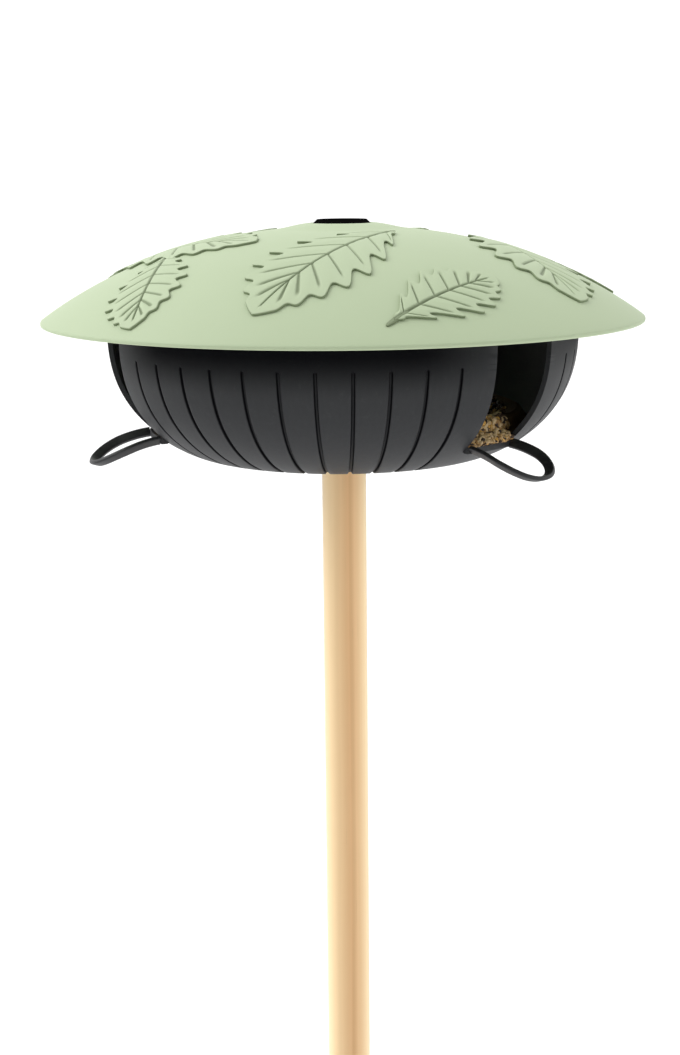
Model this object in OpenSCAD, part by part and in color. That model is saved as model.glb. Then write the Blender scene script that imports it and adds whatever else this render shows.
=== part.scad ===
// Seed bird feeder on a wooden pole: a ribbed bowl with three feeding openings, a loop perch
// at each, and a domed roof that lifts off once the knob at its top is turned.
// Origin: the pole's axis at ground level. +Z is up, and -Y is the front.

/* [Pole] */
// Diameter of the pole
pole_d = 28; // [24:1:32]
// Length of the pole above the ground, to its top end inside the bowl
pole_above = 1013; // [700:1:1400]
// Diameter of the turned foot that goes into the ground or a socket
foot_d = 26; // [20:1:27]
// Length of the straight stretch of the foot
foot_len = 140; // [80:5:200]
// Length of the point below the foot
point_len = 45; // [25:5:80]
// Diameter of the blunt tip
tip_d = 6; // [4:1:12]
// Chamfer at the pole's top end
pole_chamfer = 1.5; // [0.5:0.5:3]

/* [Bowl] */
// Outside radius of the bowl at the roof's rim
bowl_r = 145.4; // [130:0.1:150]
// Depth of the bowl below the roof's rim
bowl_depth = 81.9; // [70:0.1:100]
// Radius of the bowl's flat underside
base_r = 88.3; // [84:0.1:100]
// Squareness of the bowl's side, as an exponent
side_exp = 2.666; // [2.4:0.01:3]
// Squareness of the bowl's bottom corner, as an exponent
corner_exp = 1.373; // [1.3:0.01:1.6]
// Thickness of the bowl's wall
wall = 3; // [2.5:0.1:4]
// Thickness of the bowl's floor
floor_t = 3; // [2:0.1:4]
// Height of the bowl's top ring above the roof's rim
ring_h = 14; // [11:0.5:16]
// Diameter of the drain holes
drain_d = 4; // [3:0.5:6]
// Number of drain holes
drain_count = 12; // [6:1:18]
// Radius of the circle of drain holes
drain_circle_r = 77; // [72:0.5:82]

/* [Grooves] */
// Angle from one groove to the next
groove_pitch = 8.2; // [7:0.1:9]
// Number of grooves on each panel
groove_count = 11; // [7:2:11]
// Width of a groove
groove_w = 2.2; // [1.5:0.1:3]
// Depth of a groove
groove_depth = 1.6; // [0.8:0.1:1.8]
// Distance from the roof's rim down to a groove's top end
groove_drop = 16; // [10:1:25]
// How far a groove runs in under the bowl
groove_under = 8; // [4:1:12]

/* [Openings] */
// Number of feeding openings
opening_count = 3; // [3:1:3]
// Half of the angle that an opening takes
opening_half = 9.7; // [8:0.1:11]
// Height of an opening's edge above the bowl's underside
sill_h = 13.4; // [12:0.1:18]
// Distance from the roof's rim up to an opening's top edge
opening_rise = 4; // [2:0.5:6]

/* [Perches] */
// How far a perch reaches beyond the sill's front face
perch_reach = 35.8; // [30:0.1:45]
// Half of the width across the legs at their roots
perch_half_w = 17.7; // [15:0.1:18]
// Share by which the loop widens over its reach
perch_flare = 0.18; // [0:0.01:0.2]
// Length of the rounded end
perch_end = 20; // [12:0.5:25]
// Slope of the loop at its roots, as a drop for each unit of reach
perch_slope = 0.11; // [0:0.01:0.3]
// Further drop of the loop for each square of its reach, per metre
perch_arch = 7.4; // [4:0.1:11]
// Height of the loop's roots above the opening's edge
perch_root_h = 1.2; // [0:0.1:2]
// Width of the strip that the loop is bent from
strip_w = 6; // [5:0.1:7]
// Thickness of the strip
strip_t = 2.8; // [2.4:0.1:3.4]
// Angle by which the strip leans outwards
strip_lean = 40; // [20:1:50]
// Thickness of the sill that the perch is moulded with
sill_t = 3; // [2:0.1:3.5]
// How far the sill's front face stands out of the wall
sill_stand = 4.6; // [4:0.1:6]
// How far the sill's inner flange reaches down the wall
sill_hook = 4; // [3:0.1:5]
// How far the sill's front reaches below the opening's edge
sill_lip = 1; // [0.5:0.1:3]
// Bevel on the sill's front edge
sill_edge = 0.6; // [0.3:0.1:1]
// Thickness of the inner flange
flange_t = 1.8; // [1.2:0.1:2.2]

/* [Roof] */
// Radius of the roof
roof_r = 185; // [170:1:190]
// Rise of the roof from the top of its edge to its crown
roof_rise = 54.7; // [50:0.1:65]
// Height of the roof's edge
roof_edge = 2; // [1.5:0.1:3]
// Fullness of the roof's side, as an exponent
roof_side_exp = 2.267; // [2.1:0.01:2.5]
// Fullness of the roof's edge, as an exponent
roof_edge_exp = 1.04; // [1:0.01:1.2]
// Thickness of the roof
roof_t = 2.6; // [2:0.1:3.2]
// Thickness of the ring that keeps the roof centred on the bowl
centring_t = 2.5; // [2:0.1:3]
// Height of that ring's lower edge above the roof's rim
centring_z = 6; // [4:0.5:9]
// Number of ribs under the roof
rib_count = 6; // [3:3:9]
// Thickness of a rib
rib_t = 2; // [1.6:0.1:2.4]
// Height of a rib's lower edge at its outer end above the roof's rim
rib_outer_z = 15; // [12:0.5:18]
// Outside radius of the hub
hub_r = 15; // [14:0.1:16]
// Height of the raised leaves
leaf_rise = 1.5; // [0.8:0.1:2]
// Turn of the leaf pattern about the roof's axis
leaf_turn = 14.4; // [0:0.1:360]
// Height of each step between the skirt and the hub
hub_step = 4; // [3:0.5:5]
// Depth of the skirt that fits over the column
skirt_h = 8; // [5:0.5:12]
// Thickness of that skirt
skirt_t = 2.2; // [1.8:0.1:3]

/* [Column] */
// Outside radius of the column
column_r = 17.2; // [16.5:0.1:18]
// Height of the column's top above the roof's rim
column_rise = 30; // [26:0.5:34]
// Depth of the socket that takes the pole
socket_depth = 60; // [40:1:65]
// Thickness of the web above the pole
web_t = 4; // [3:0.5:6]
// Thickness of the column's top plate
plate_t = 4; // [3:0.1:5]
// Inside radius of the column above the web
tube_r = 13.6; // [12.5:0.1:14]
// Radius of the column's flange
flange_r = 42; // [38:0.5:46]
// Thickness of the column's flange
flange_h = 3.5; // [3:0.1:5]
// Radius of a screw boss
boss_r = 4.6; // [4.2:0.1:5.5]
// Height of a screw boss above the floor
boss_h = 12; // [10:0.5:14]
// Reach of the gussets between the column and its flange
gusset_r = 38; // [30:0.5:38]
// Height of a gusset above the floor
gusset_h = 16; // [10:0.5:20]
// Number of screws through the bowl's floor
screw_count = 4; // [3:1:6]
// Radius of the circle of screws
screw_circle_r = 31; // [29:0.5:33]

/* [Seed cone] */
// Radius of the cone's foot
cone_r = 64; // [58:0.5:66]
// Height of the cone
cone_h = 34; // [30:0.5:38]
// Thickness of the cone
cone_t = 2; // [1.6:0.1:2.5]
// Width of the cone's foot on the floor
cone_foot_w = 3.2; // [2.5:0.1:5]
// Length of the collar round the column
collar_h = 6; // [4:0.5:10]

/* [Knob] */
// Diameter of the knob
knob_d = 37; // [34:0.5:40]
// Height of the knob
knob_h = 3.8; // [3.4:0.1:5]
// Bevel round the knob
knob_bevel = 3.2; // [2:0.1:3.3]
// Depth of the two finger recesses
recess_depth = 2.2; // [1.2:0.1:2.4]
// Distance from a recess to the knob's bevel
recess_margin = 2; // [1:0.5:3]
// Width of the grip between the recesses
grip_w = 6; // [4:0.5:8]
// Radius of the stem
stem_r = 6; // [5:0.1:6.2]
// Chamfer at the stem's lower end
stem_chamfer = 0.8; // [0.4:0.1:1.5]
// Depth of the groove that holds the clip
clip_groove = 1.1; // [0.8:0.1:1.4]
// Thickness of the clip
clip_t = 1; // [0.8:0.1:1.2]
// Outside radius of the clip
clip_r = 9.4; // [8.5:0.1:9.8]
// Depth of the recess in the hub that takes the clip
clip_recess_h = 3.5; // [3:0.1:4]
// Width of the gap in the clip
clip_gap = 7; // [4:0.5:8]
// Diameter of the cross pin that locks under the column's plate
cross_pin_d = 4; // [3:0.1:4.5]
// Length of the cross pin
cross_pin_len = 20; // [18:0.5:22]
// Outside radius of the rubber washer under the knob
washer_r = 15.5; // [13:0.1:16]
// Thickness of the rubber washer
washer_t = 1.2; // [1:0.1:1.8]
// Depth of the washer's seat in the roof's crown
seat_depth = 0.9; // [0.5:0.1:1]

/* [Screws] */
// Radius of a floor screw's thread
screw_r = 2; // [1.75:0.05:2.25]
// Radius of a floor screw's head
screw_head_r = 3.9; // [3.6:0.1:4.2]
// Length of a floor screw below its head's top
screw_len = 13; // [11:0.5:14]
// Radius of the driver's recess in a floor screw's head
drive_r = 0.9; // [0.6:0.1:1.5]
// Depth of that recess
drive_depth = 1; // [0.5:0.1:1.2]
// Radius of a screw's tip
screw_tip_r = 0.4; // [0.2:0.1:1]
// Radius of the screw that holds the pole
pole_screw_r = 2.5; // [2:0.1:3]
// Length of that screw's thread
pole_screw_len = 42; // [30:1:55]
// Radius of its head
pole_screw_head_r = 5.2; // [4.5:0.1:6]
// Height of its head
pole_screw_head_h = 3.4; // [2.8:0.1:4]
// Width of the cross slot in its head
pole_drive_w = 1; // [0.6:0.1:1.4]
// Radius of the steel washer under it
steel_washer_r = 9; // [7.5:0.1:10]
// Thickness of the steel washer
steel_washer_t = 1.2; // [1:0.1:1.6]

/* [Seed] */
// Height of the heap's crest, just inside the wall, above the sill
seed_front_h = 14.5; // [8:0.5:20]
// Height of the heap beside the cone above the sill
seed_inner_h = 7; // [3:0.5:17]
// Distance from the sill's inner flange to the seed below the sill
seed_front_gap = 0.5; // [0.4:0.1:2]

/* [Clearances] */
// Clearance between the pole and the hole in the bowl's floor
pole_clear = 0.25; // [0.1:0.05:0.5]
// Clearance between the pole and its socket
socket_clear = 0.05; // [0.02:0.01:0.1]
// Clearance between a screw and its hole
thread_clear = 0.03; // [0.02:0.01:0.1]
// Running clearance of the stem in the hub
stem_clear = 0.06; // [0.02:0.01:0.1]
// Clearance of the stem and pin in the column's plate
plate_clear = 0.6; // [0.4:0.05:1]
// Height that the cross pin runs below the plate
pin_drop = 0.4; // [0.3:0.05:1]
// Clearance between the roof and what it drops over
roof_clear = 0.6; // [0.3:0.05:1]
// Clearance between a perch and the bowl's wall
perch_clear = 0.2; // [0.1:0.05:0.4]
// Clearance round the seed
seed_clear = 0.4; // [0.3:0.05:1]

/* [Hidden] */
$fn = 96;

// The countersunk part of a floor screw's head
screw_sink_h = screw_head_r - screw_r;
// Heights above the ground
floor_top_z = pole_above - socket_depth;
base_z = floor_top_z - floor_t;
rim_z = base_z + bowl_depth;
column_top_z = rim_z + column_rise;
sill_drop = bowl_depth - sill_h;
sill_z = rim_z - sill_drop;
crown_z = rim_z + roof_edge + roof_rise;
knob_z = crown_z - seat_depth + washer_t;
web_z = pole_above;
plate_z = column_top_z - plate_t;
pin_z = plate_z - pin_drop - cross_pin_d / 2;
stem_end_z = pin_z - cross_pin_d;
clip_z = column_top_z + clip_recess_h - roof_clear - clip_t;

// Directions of the openings, with one at the back, so that a panel faces the front
rear_angle = 90;
left_angle = rear_angle + 360 / opening_count;
right_angle = rear_angle - 360 / opening_count;
profile_steps = 24;
// The angle just short of the underside, where the side's outline ends
side_end = 89;
roof_steps = 22;
eps = 0.01;
// How far a cutting shape runs past the face that it opens
over = 1;

// A point of the bowl's outer side, from its top at a = 0 to its underside at a = 90
function side_r(a) = base_r + (bowl_r - base_r) * pow(cos(a), 2 / corner_exp);
function side_z(a) = rim_z - bowl_depth * pow(sin(a), 2 / side_exp);
function side_point(a) = [side_r(a), side_z(a)];
// The direction that points straight out of the side there
function side_out(a) =
    let(d = side_point(min(a + 0.5, 90)) - side_point(max(a - 0.5, 0)))
    [-d[1], d[0]] / norm(d);
function skin_point(a, off) = side_point(a) + off * side_out(a);
// The side moved outwards by off, from one angle to another
function skin(off, a0, a1) =
    [for (i = [0 : profile_steps]) skin_point(a0 + (a1 - a0) * i / profile_steps, off)];
function reversed(v) = [for (i = [len(v) - 1 : -1 : 0]) v[i]];
// The angle at which the side passes a height below the roof's rim
function side_angle(drop) = asin(pow(drop / bowl_depth, side_exp / 2));
// The radius of the sill's front face
sill_front_r = side_r(side_angle(sill_drop)) + sill_stand;

// A point of the roof's outer face at a share s of its radius
function dome_point(s) =
    [roof_r * s,
     rim_z + roof_edge + roof_rise * pow(max(1 - pow(s, roof_side_exp), 0), 1 / roof_edge_exp)];
function dome_in(s) =
    let(d = dome_point(min(s + 0.005, 1)) - dome_point(max(s - 0.005, 0)))
    [d[1], -d[0]] / norm(d);
// The roof's outer face moved inwards by off, between two radii
function dome(off, r0, r1, steps = roof_steps) =
    [for (i = [0 : steps])
        let(s = (r0 + (r1 - r0) * i / steps) / roof_r)
        let(q = dome_point(s) + off * dome_in(s))
        [max(q[0], 0), q[1]]];

// The turned solid of a profile of radii and heights
module turned(points) {
    rotate_extrude() polygon(points);
}

// A part of a turned solid, as wide as the angle and centred on it
module turned_part(points, middle, half) {
    rotate([0, 0, middle - half]) rotate_extrude(angle = 2 * half) polygon(points);
}

// A flat plate of a radial outline, standing on the direction given
module radial_plate(points, direction, thickness) {
    rotate([0, 0, direction]) rotate([90, 0, 0])
        linear_extrude(thickness, center = true) polygon(points);
}

module ring(z, h, r_out, r_in) {
    translate([0, 0, z]) difference() {
        cylinder(h = h, r = r_out);
        translate([0, 0, -over]) cylinder(h = h + 2 * over, r = r_in);
    }
}

module pole() {
    color("burlywood") difference() {
        turned([
            [0, -foot_len - point_len],
            [tip_d / 2, -foot_len - point_len],
            [foot_d / 2, -foot_len],
            [foot_d / 2, 0],
            [pole_d / 2, 0],
            [pole_d / 2, pole_above - pole_chamfer],
            [pole_d / 2 - pole_chamfer, pole_above],
            [0, pole_above]
        ]);
        translate([0, 0, pole_above - pole_screw_len])
            cylinder(h = pole_screw_len + over, r = pole_screw_r + thread_clear);
    }
}

module groove(direction) {
    a0 = side_angle(groove_drop);
    radial_plate(
        concat(
            skin(-groove_depth, a0, 90),
            [[base_r - groove_under, base_z + groove_depth]],
            [[base_r - groove_under - groove_depth, base_z - over]],
            reversed(skin(over, a0, 90))
        ),
        direction, groove_w);
}

module bowl() {
    hole_r = pole_d / 2 + pole_clear;
    a_floor = side_angle(bowl_depth - floor_t / 4);
    color("dimgray") difference() {
        turned(concat(
            [[hole_r, base_z], [base_r, base_z]],
            reversed(skin(0, 0, side_end)),
            [[bowl_r, rim_z + ring_h], [bowl_r - wall, rim_z + ring_h]],
            skin(-wall, 0, a_floor),
            [[base_r - wall, floor_top_z], [hole_r, floor_top_z]]
        ));
        for (k = [0 : opening_count - 1], i = [0 : groove_count - 1])
            groove(rear_angle + (k + 0.5) * 360 / opening_count
                + (i - (groove_count - 1) / 2) * groove_pitch);
        for (k = [0 : opening_count - 1])
            turned_part([
                [base_r, sill_z],
                [bowl_r + over, sill_z],
                [bowl_r + over, rim_z + opening_rise],
                [base_r, rim_z + opening_rise]
            ], rear_angle + k * 360 / opening_count, opening_half);
        for (i = [0 : drain_count - 1])
            rotate([0, 0, (i + 0.5) * 360 / drain_count])
                translate([drain_circle_r, 0, base_z - over])
                    cylinder(h = floor_t + 2 * over, r = drain_d / 2);
        floor_screw_places() {
            translate([0, 0, base_z - over])
                cylinder(h = floor_t + 2 * over, r = screw_r + thread_clear);
            translate([0, 0, base_z - eps])
                cylinder(h = screw_sink_h + eps, r1 = screw_head_r + thread_clear,
                    r2 = screw_r + thread_clear);
        }
    }
}

module floor_screw_places() {
    for (i = [0 : screw_count - 1])
        rotate([0, 0, (i + 0.5) * 360 / screw_count]) translate([screw_circle_r, 0, 0]) children();
}

module column() {
    socket_r = pole_d / 2 + socket_clear;
    slot_w = cross_pin_d + 2 * plate_clear;
    color("gray") difference() {
        union() {
            turned([
                [socket_r, floor_top_z],
                [flange_r, floor_top_z],
                [flange_r, floor_top_z + flange_h],
                [column_r, floor_top_z + flange_h],
                [column_r, column_top_z],
                [stem_r + plate_clear, column_top_z],
                [stem_r + plate_clear, plate_z],
                [tube_r, plate_z],
                [tube_r, web_z + web_t],
                [pole_screw_r + plate_clear, web_z + web_t],
                [pole_screw_r + plate_clear, web_z],
                [socket_r, web_z]
            ]);
            floor_screw_places() translate([0, 0, floor_top_z]) cylinder(h = boss_h, r = boss_r);
            for (i = [0 : screw_count - 1])
                radial_plate([
                    [column_r - over, floor_top_z],
                    [gusset_r, floor_top_z],
                    [gusset_r, floor_top_z + flange_h],
                    [column_r - over, floor_top_z + gusset_h]
                ], i * 360 / screw_count, rib_t);
        }
        floor_screw_places() translate([0, 0, floor_top_z - over])
            cylinder(h = screw_len, r = screw_r + thread_clear);
        translate([0, 0, plate_z + plate_t / 2])
            cube([cross_pin_len + 2 * plate_clear, slot_w, plate_t + 2 * over], center = true);
    }
}

module floor_screws() {
    color("silver") floor_screw_places() turned([
        [0, base_z + drive_depth],
        [drive_r, base_z],
        [screw_head_r, base_z],
        [screw_r, base_z + screw_sink_h],
        [screw_r, base_z + screw_len - screw_r],
        [screw_tip_r, base_z + screw_len],
        [0, base_z + screw_len]
    ]);
}

module pole_washer() {
    color("silver")
        ring(web_z + web_t, steel_washer_t, steel_washer_r, pole_screw_r + 3 * thread_clear);
}

module pole_screw() {
    head_z = web_z + web_t + steel_washer_t;
    tip_z = web_z - pole_screw_len + over;
    color("silver") difference() {
        turned([
            [0, tip_z],
            [screw_tip_r, tip_z],
            [pole_screw_r, tip_z + 2 * pole_screw_r],
            [pole_screw_r, head_z],
            [pole_screw_head_r, head_z],
            [0.92 * pole_screw_head_r, head_z + pole_screw_head_h / 2],
            [0.65 * pole_screw_head_r, head_z + pole_screw_head_h],
            [0, head_z + pole_screw_head_h]
        ]);
        translate([0, 0, head_z + pole_screw_head_h]) for (turn = [0, 90])
            rotate([0, 0, turn])
                cube([pole_screw_head_r, pole_drive_w, pole_screw_head_h], center = true);
    }
}

module seed_cone() {
    bore_r = column_r + perch_clear;
    top_r = bore_r + cone_t;
    top_z = floor_top_z + cone_h;
    color("darkslategray") turned([
        [cone_r - cone_foot_w, floor_top_z],
        [cone_r, floor_top_z],
        [cone_r, floor_top_z + cone_t / 2],
        [top_r, top_z],
        [top_r, top_z + collar_h],
        [bore_r, top_z + collar_h],
        [bore_r, top_z - cone_t]
    ]);
}

module seed_fill() {
    c = seed_clear;
    bore_r = column_r + perch_clear;
    top_r = bore_r + cone_t;
    inner_z = sill_z + seed_inner_h;
    back_r = sill_back_r - seed_front_gap;
    front_r = skin_point(side_angle(sill_drop), -wall - c)[0];
    low_z = skin_point(side_angle(seed_low_drop), -wall - c)[1] + c;
    // The cone's radius at the height of the heap
    cone_top_r = top_r + (cone_r - top_r)
        * (floor_top_z + cone_h - inner_z) / (cone_h - cone_t / 2);
    crest_z = sill_z + seed_front_h;
    // Radii of the heap's top, as shares of the way in from the wall to the cone
    function share_r(share) = front_r - share * (front_r - cone_top_r);
    color("peru") turned(concat(
        [
            [base_r - wall, floor_top_z + c],
            [cone_r + c, floor_top_z + c],
            [cone_r + c, floor_top_z + cone_t / 2 + c],
            [cone_top_r + c, inner_z + c],
            [share_r(0.35), inner_z + 0.2 * (crest_z - inner_z)],
            [share_r(0.14), crest_z - 0.1 * seed_front_h],
            [share_r(0.09), crest_z],
            [share_r(0.05), crest_z - 0.1 * seed_front_h],
            [share_r(0.01), sill_z + 0.6 * seed_front_h],
            [front_r, sill_z + sill_t + 2 * c],
            [front_r, sill_z + sill_t + c / 2],
            [back_r, sill_z + sill_t + c / 2],
            [back_r, low_z]
        ],
        [for (i = [0 : 4])
            let(drop = seed_low_drop + (seed_floor_drop - seed_low_drop) * i / 4)
            skin_point(side_angle(drop), -wall - c)]
    ));
}
seed_low_drop = sill_drop + sill_hook + flange_t;
seed_floor_drop = bowl_depth - floor_t / 4;

// The loop's middle line, with t from -1 at one root to 1 at the other
function loop_run(t) = abs(t) > end_share
    ? perch_straight * (1 - abs(t)) / (1 - end_share)
    : perch_straight + perch_end * pow(cos(90 * t / end_share), 1.2);
function loop_side(t) = abs(t) > end_share
    ? sign(t) * perch_half_w
    : perch_half_w * sign(t) * pow(abs(sin(90 * t / end_share)), 0.9);
function loop_point(t) =
    let(s = loop_run(t))
    [root_r + s,
     loop_side(t) * (1 + perch_flare * s / perch_length),
     root_z - perch_slope * s - perch_arch * s * s / 1000];
end_share = 0.6;
root_r = sill_front_r - strip_t / 2;
root_z = sill_z + perch_root_h;
perch_length = perch_reach + strip_t / 2;
perch_straight = perch_length - perch_end;
loop_rings = 36;

// The strip's section, leaning outwards, with the along-the-loop frame worked out at each ring
function loop_frame(t) =
    let(d = loop_point(min(t + 0.01, 1)) - loop_point(max(t - 0.01, -1)),
        s = loop_run(t),
        along = d / norm(d),
        fall = atan(perch_slope + 2 * perch_arch * s / 1000),
        up = [sin(fall), 0, cos(fall)],
        out = cross(up, along) * -1)
    [out / norm(out), up];
strip_corner = 0.8;
strip_section = [
    for (q = [[1, 1], [-1, 1], [-1, -1], [1, -1]])
        let(x = q[0] * strip_t / 2, y = q[1] * strip_w / 2)
        each q[0] * q[1] > 0
            ? [[x, y - q[1] * strip_corner], [x - q[0] * strip_corner, y]]
            : [[x - q[0] * strip_corner, y], [x, y - q[1] * strip_corner]]
];
function lean(p) = [
    p[0] * cos(strip_lean) + p[1] * sin(strip_lean),
    p[1] * cos(strip_lean) - p[0] * sin(strip_lean)
];
function loop_ring(t) =
    let(c = loop_point(t), f = loop_frame(t))
    [for (p = strip_section) let(q = lean(p)) c + q[0] * f[0] + q[1] * f[1]];

module perch_loop() {
    n = len(strip_section);
    points = [for (i = [0 : loop_rings]) each loop_ring(-1 + 2 * i / loop_rings)];
    sides = [for (i = [0 : loop_rings - 1], j = [0 : n - 1])
        let(a = i * n + j, b = i * n + (j + 1) % n)
        each [[a, b, b + n], [a, b + n, a + n]]];
    caps = [
        [for (j = [n - 1 : -1 : 0]) j],
        [for (j = [0 : n - 1]) loop_rings * n + j]
    ];
    polyhedron(points = points, faces = concat(sides, caps));
}

// The sill's section: a bar over the opening's edge, with a flange down the wall's inner side
sill_back = skin_point(side_angle(sill_drop + sill_hook), -wall - perch_clear);
sill_back_r = sill_back[0] - flange_t;
module sill_section() {
    a0 = side_angle(sill_drop - 2 * wall);
    a1 = side_angle(sill_drop + 2 * sill_hook);
    difference() {
        polygon([
            [sill_back_r, sill_z + sill_t],
            [sill_front_r - sill_edge, sill_z + sill_t],
            [sill_front_r, sill_z + sill_t - sill_edge],
            [sill_front_r, sill_z - sill_lip],
            [sill_back[0] + wall, sill_z - sill_lip],
            [sill_back[0], sill_back[1]],
            [sill_back_r, sill_back[1]]
        ]);
        intersection() {
            polygon(concat(skin(perch_clear, a0, a1), reversed(skin(-wall - perch_clear, a0, a1))));
            translate([0, sill_z - bowl_depth]) square([bowl_r, bowl_depth]);
        }
    }
}

module perch(direction) {
    half = opening_half - perch_side_gap;
    color("#202020") rotate([0, 0, direction]) {
        rotate([0, 0, -half]) rotate_extrude(angle = 2 * half) sill_section();
        perch_loop();
    }
}
// The angle that the perch's clearance takes at the sill
perch_side_gap = perch_clear / sill_front_r * 180 / PI;

module perch_front_left() {
    perch(left_angle);
}

module perch_front_right() {
    perch(right_angle);
}

module perch_rear() {
    perch(rear_angle);
}

module roof_rib(direction) {
    inner_r = hub_r - roof_t / 2;
    outer_r = bowl_r - wall - roof_clear - centring_t / 2;
    radial_plate(concat(
        dome(roof_t / 2, inner_r, outer_r),
        [[outer_r, rim_z + rib_outer_z], [inner_r, column_top_z + hub_step]]
    ), direction, rib_t);
}

// The leaves in plan: tip, direction from tip to base, length, half width, slant of the veins,
// depth of the notches near the base, and length of the stem
LEAVES = [
    [[-48, -157], 55.5, 132, 34, 27, 0.6, 4],
    [[84.5, -105], 226.5, 80, 22.5, 14, 0.6, 11],
    [[-115, -136], 83, 93, 23, 16, 0.5, 0],
    [[133, -95], 111.5, 130, 33, 26, 0.6, 4],
    [[-50, -59], 137, 128, 31, 26, 0.6, 4],
    [[167, 2], 131, 84, 21, 14, 0.6, 8],
    [[38, 152], -83, 112, 29, 24, 0.6, 4],
    [[-18, 92], 80, 70, 18, 12, 0.6, 8],
    [[-122, 118], -44, 124, 32, 26, 0.6, 4],
    [[92, 138], -62, 64, 17, 11, 0.6, 8]
];
lobe_count = 8;
// Share of a leaf's length at which its two sides meet again
leaf_end = 1.06;
// Lobes lie closer together towards a leaf's tip: the place of lobe number p from the tip, as a
// share of the leaf's length
function lobe_at(p) = 0.0155 * pow(p + 1.9, 1.92);
// Width of a leaf there, as a share of its largest width
function leaf_spread(u) = sin(180 * pow(min(u / leaf_end, 1), 0.8));
// How far back towards the tip a vein runs, which is less near the base
function leaf_lean(l, u) = l[4] * min((leaf_end - u) / 0.3, 1);
// A point of a leaf's edge at lobe number p: a vein runs from the midrib slantwise towards the
// tip, and the edge lies at the full share of it on a lobe and at less in a notch
function leaf_edge(l, p, side) =
    let(u = lobe_at(p),
        notch = 0.5 - 0.5 * cos(360 * p),
        share = 1 - notch * (0.06 + l[5] * u))
    [u * l[2] + leaf_lean(l, u) * (1 - share), side * l[3] * leaf_spread(u) * share];
function leaf_side(l, side) =
    [for (i = [0 : lobe_count - 1], k = [-0.2, 0.2, 0.5])
        if (i + k > 0 && i + k < lobe_count - 1) leaf_edge(l, i + k, side)];

module leaf(l) {
    translate(l[0]) rotate(l[1]) {
        polygon(concat(
            [[0, 0]],
            leaf_side(l, -1),
            [[leaf_end * l[2], 0]],
            reversed(leaf_side(l, 1))
        ));
        translate([l[2] / 2, -leaf_rise]) square([l[2] / 2 + l[6], 2 * leaf_rise]);
    }
}

// The leaves, each a slab that follows the dome
module raised_leaves() {
    low_r = washer_r + leaf_rise;
    high_r = roof_r - 3 * leaf_rise;
    leaf_steps = 14;
    intersection() {
        turned(concat(
            dome(-leaf_rise, low_r, high_r, leaf_steps),
            reversed(dome(roof_t / 2, low_r, high_r, leaf_steps))
        ));
        rotate([0, 0, leaf_turn]) translate([0, 0, rim_z])
            linear_extrude(2 * roof_rise) for (l = LEAVES) leaf(l);
    }
}

module roof() {
    skirt_in = column_r + roof_clear;
    centring_r = bowl_r - wall - roof_clear;
    bore_r = stem_r + stem_clear;
    color("#bccb9c") difference() {
        union() {
            turned(concat(
                dome(0, 0, roof_r),
                [[roof_r, rim_z], [roof_r - roof_t / 2, rim_z]],
                reversed(dome(roof_t, 0, roof_r - roof_t / 2))
            ));
            turned([
                [0, column_top_z],
                [skirt_in, column_top_z],
                [skirt_in, column_top_z - skirt_h],
                [skirt_in + skirt_t, column_top_z - skirt_h],
                [skirt_in + skirt_t, column_top_z + hub_step],
                [hub_r, column_top_z + 2 * hub_step],
                [hub_r, crown_z - roof_t / 2],
                [0, crown_z - roof_t / 2]
            ]);
            turned(concat(
                dome(roof_t / 2, centring_r - centring_t, centring_r),
                [[centring_r, rim_z + centring_z], [centring_r - centring_t, rim_z + centring_z]]
            ));
            for (i = [0 : rib_count - 1])
                roof_rib(i * 360 / rib_count + 180 / rib_count);
            raised_leaves();
        }
        translate([0, 0, column_top_z - over])
            cylinder(h = crown_z - column_top_z + 2 * over, r = bore_r);
        translate([0, 0, column_top_z - over])
            cylinder(h = clip_recess_h + over, r = clip_r + roof_clear);
        translate([0, 0, crown_z - seat_depth])
            cylinder(h = seat_depth + over, r = washer_r + roof_clear / 2);
    }
}

module roof_washer() {
    color("black")
        ring(crown_z - seat_depth, washer_t, washer_r, stem_r + roof_clear / 2);
}

module lock_knob() {
    knob_r = knob_d / 2;
    low_z = knob_z;
    top_z = knob_z + knob_h;
    color("#181818") difference() {
        turned([
            [0, stem_end_z],
            [stem_r - stem_chamfer, stem_end_z],
            [stem_r, stem_end_z + stem_chamfer],
            [stem_r, clip_z - thread_clear],
            [stem_r - clip_groove, clip_z - thread_clear],
            [stem_r - clip_groove, clip_z + clip_t + thread_clear],
            [stem_r, clip_z + clip_t + thread_clear],
            [stem_r, low_z],
            [knob_r, low_z],
            [knob_r, top_z - knob_bevel],
            [knob_r - knob_bevel, top_z],
            [0, top_z]
        ]);
        translate([0, 0, pin_z]) rotate([0, 90, 0])
            cylinder(h = 4 * stem_r, r = cross_pin_d / 2 + thread_clear, center = true);
        for (side = [-1, 1])
            intersection() {
                translate([0, 0, top_z - recess_depth])
                    cylinder(h = recess_depth + over, r = knob_r - knob_bevel - recess_margin);
                translate([-knob_r, side > 0 ? grip_w / 2 : -grip_w / 2 - knob_d, low_z])
                    cube([knob_d, knob_d, knob_h + 2 * over]);
            }
    }
}

module knob_clip() {
    color("silver") difference() {
        ring(clip_z, clip_t, clip_r, stem_r - clip_groove + thread_clear);
        translate([0, -clip_gap / 2, clip_z - over]) cube([2 * clip_r, clip_gap, clip_t + 2 * over]);
    }
}

module cross_pin() {
    color("silver") translate([0, 0, pin_z]) rotate([0, 90, 0])
        cylinder(h = cross_pin_len, r = cross_pin_d / 2, center = true);
}

pole();
bowl();
column();
floor_screws();
pole_screw();
pole_washer();
seed_cone();
seed_fill();
perch_front_left();
perch_front_right();
perch_rear();
roof();
roof_washer();
lock_knob();
knob_clip();
cross_pin();
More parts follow.
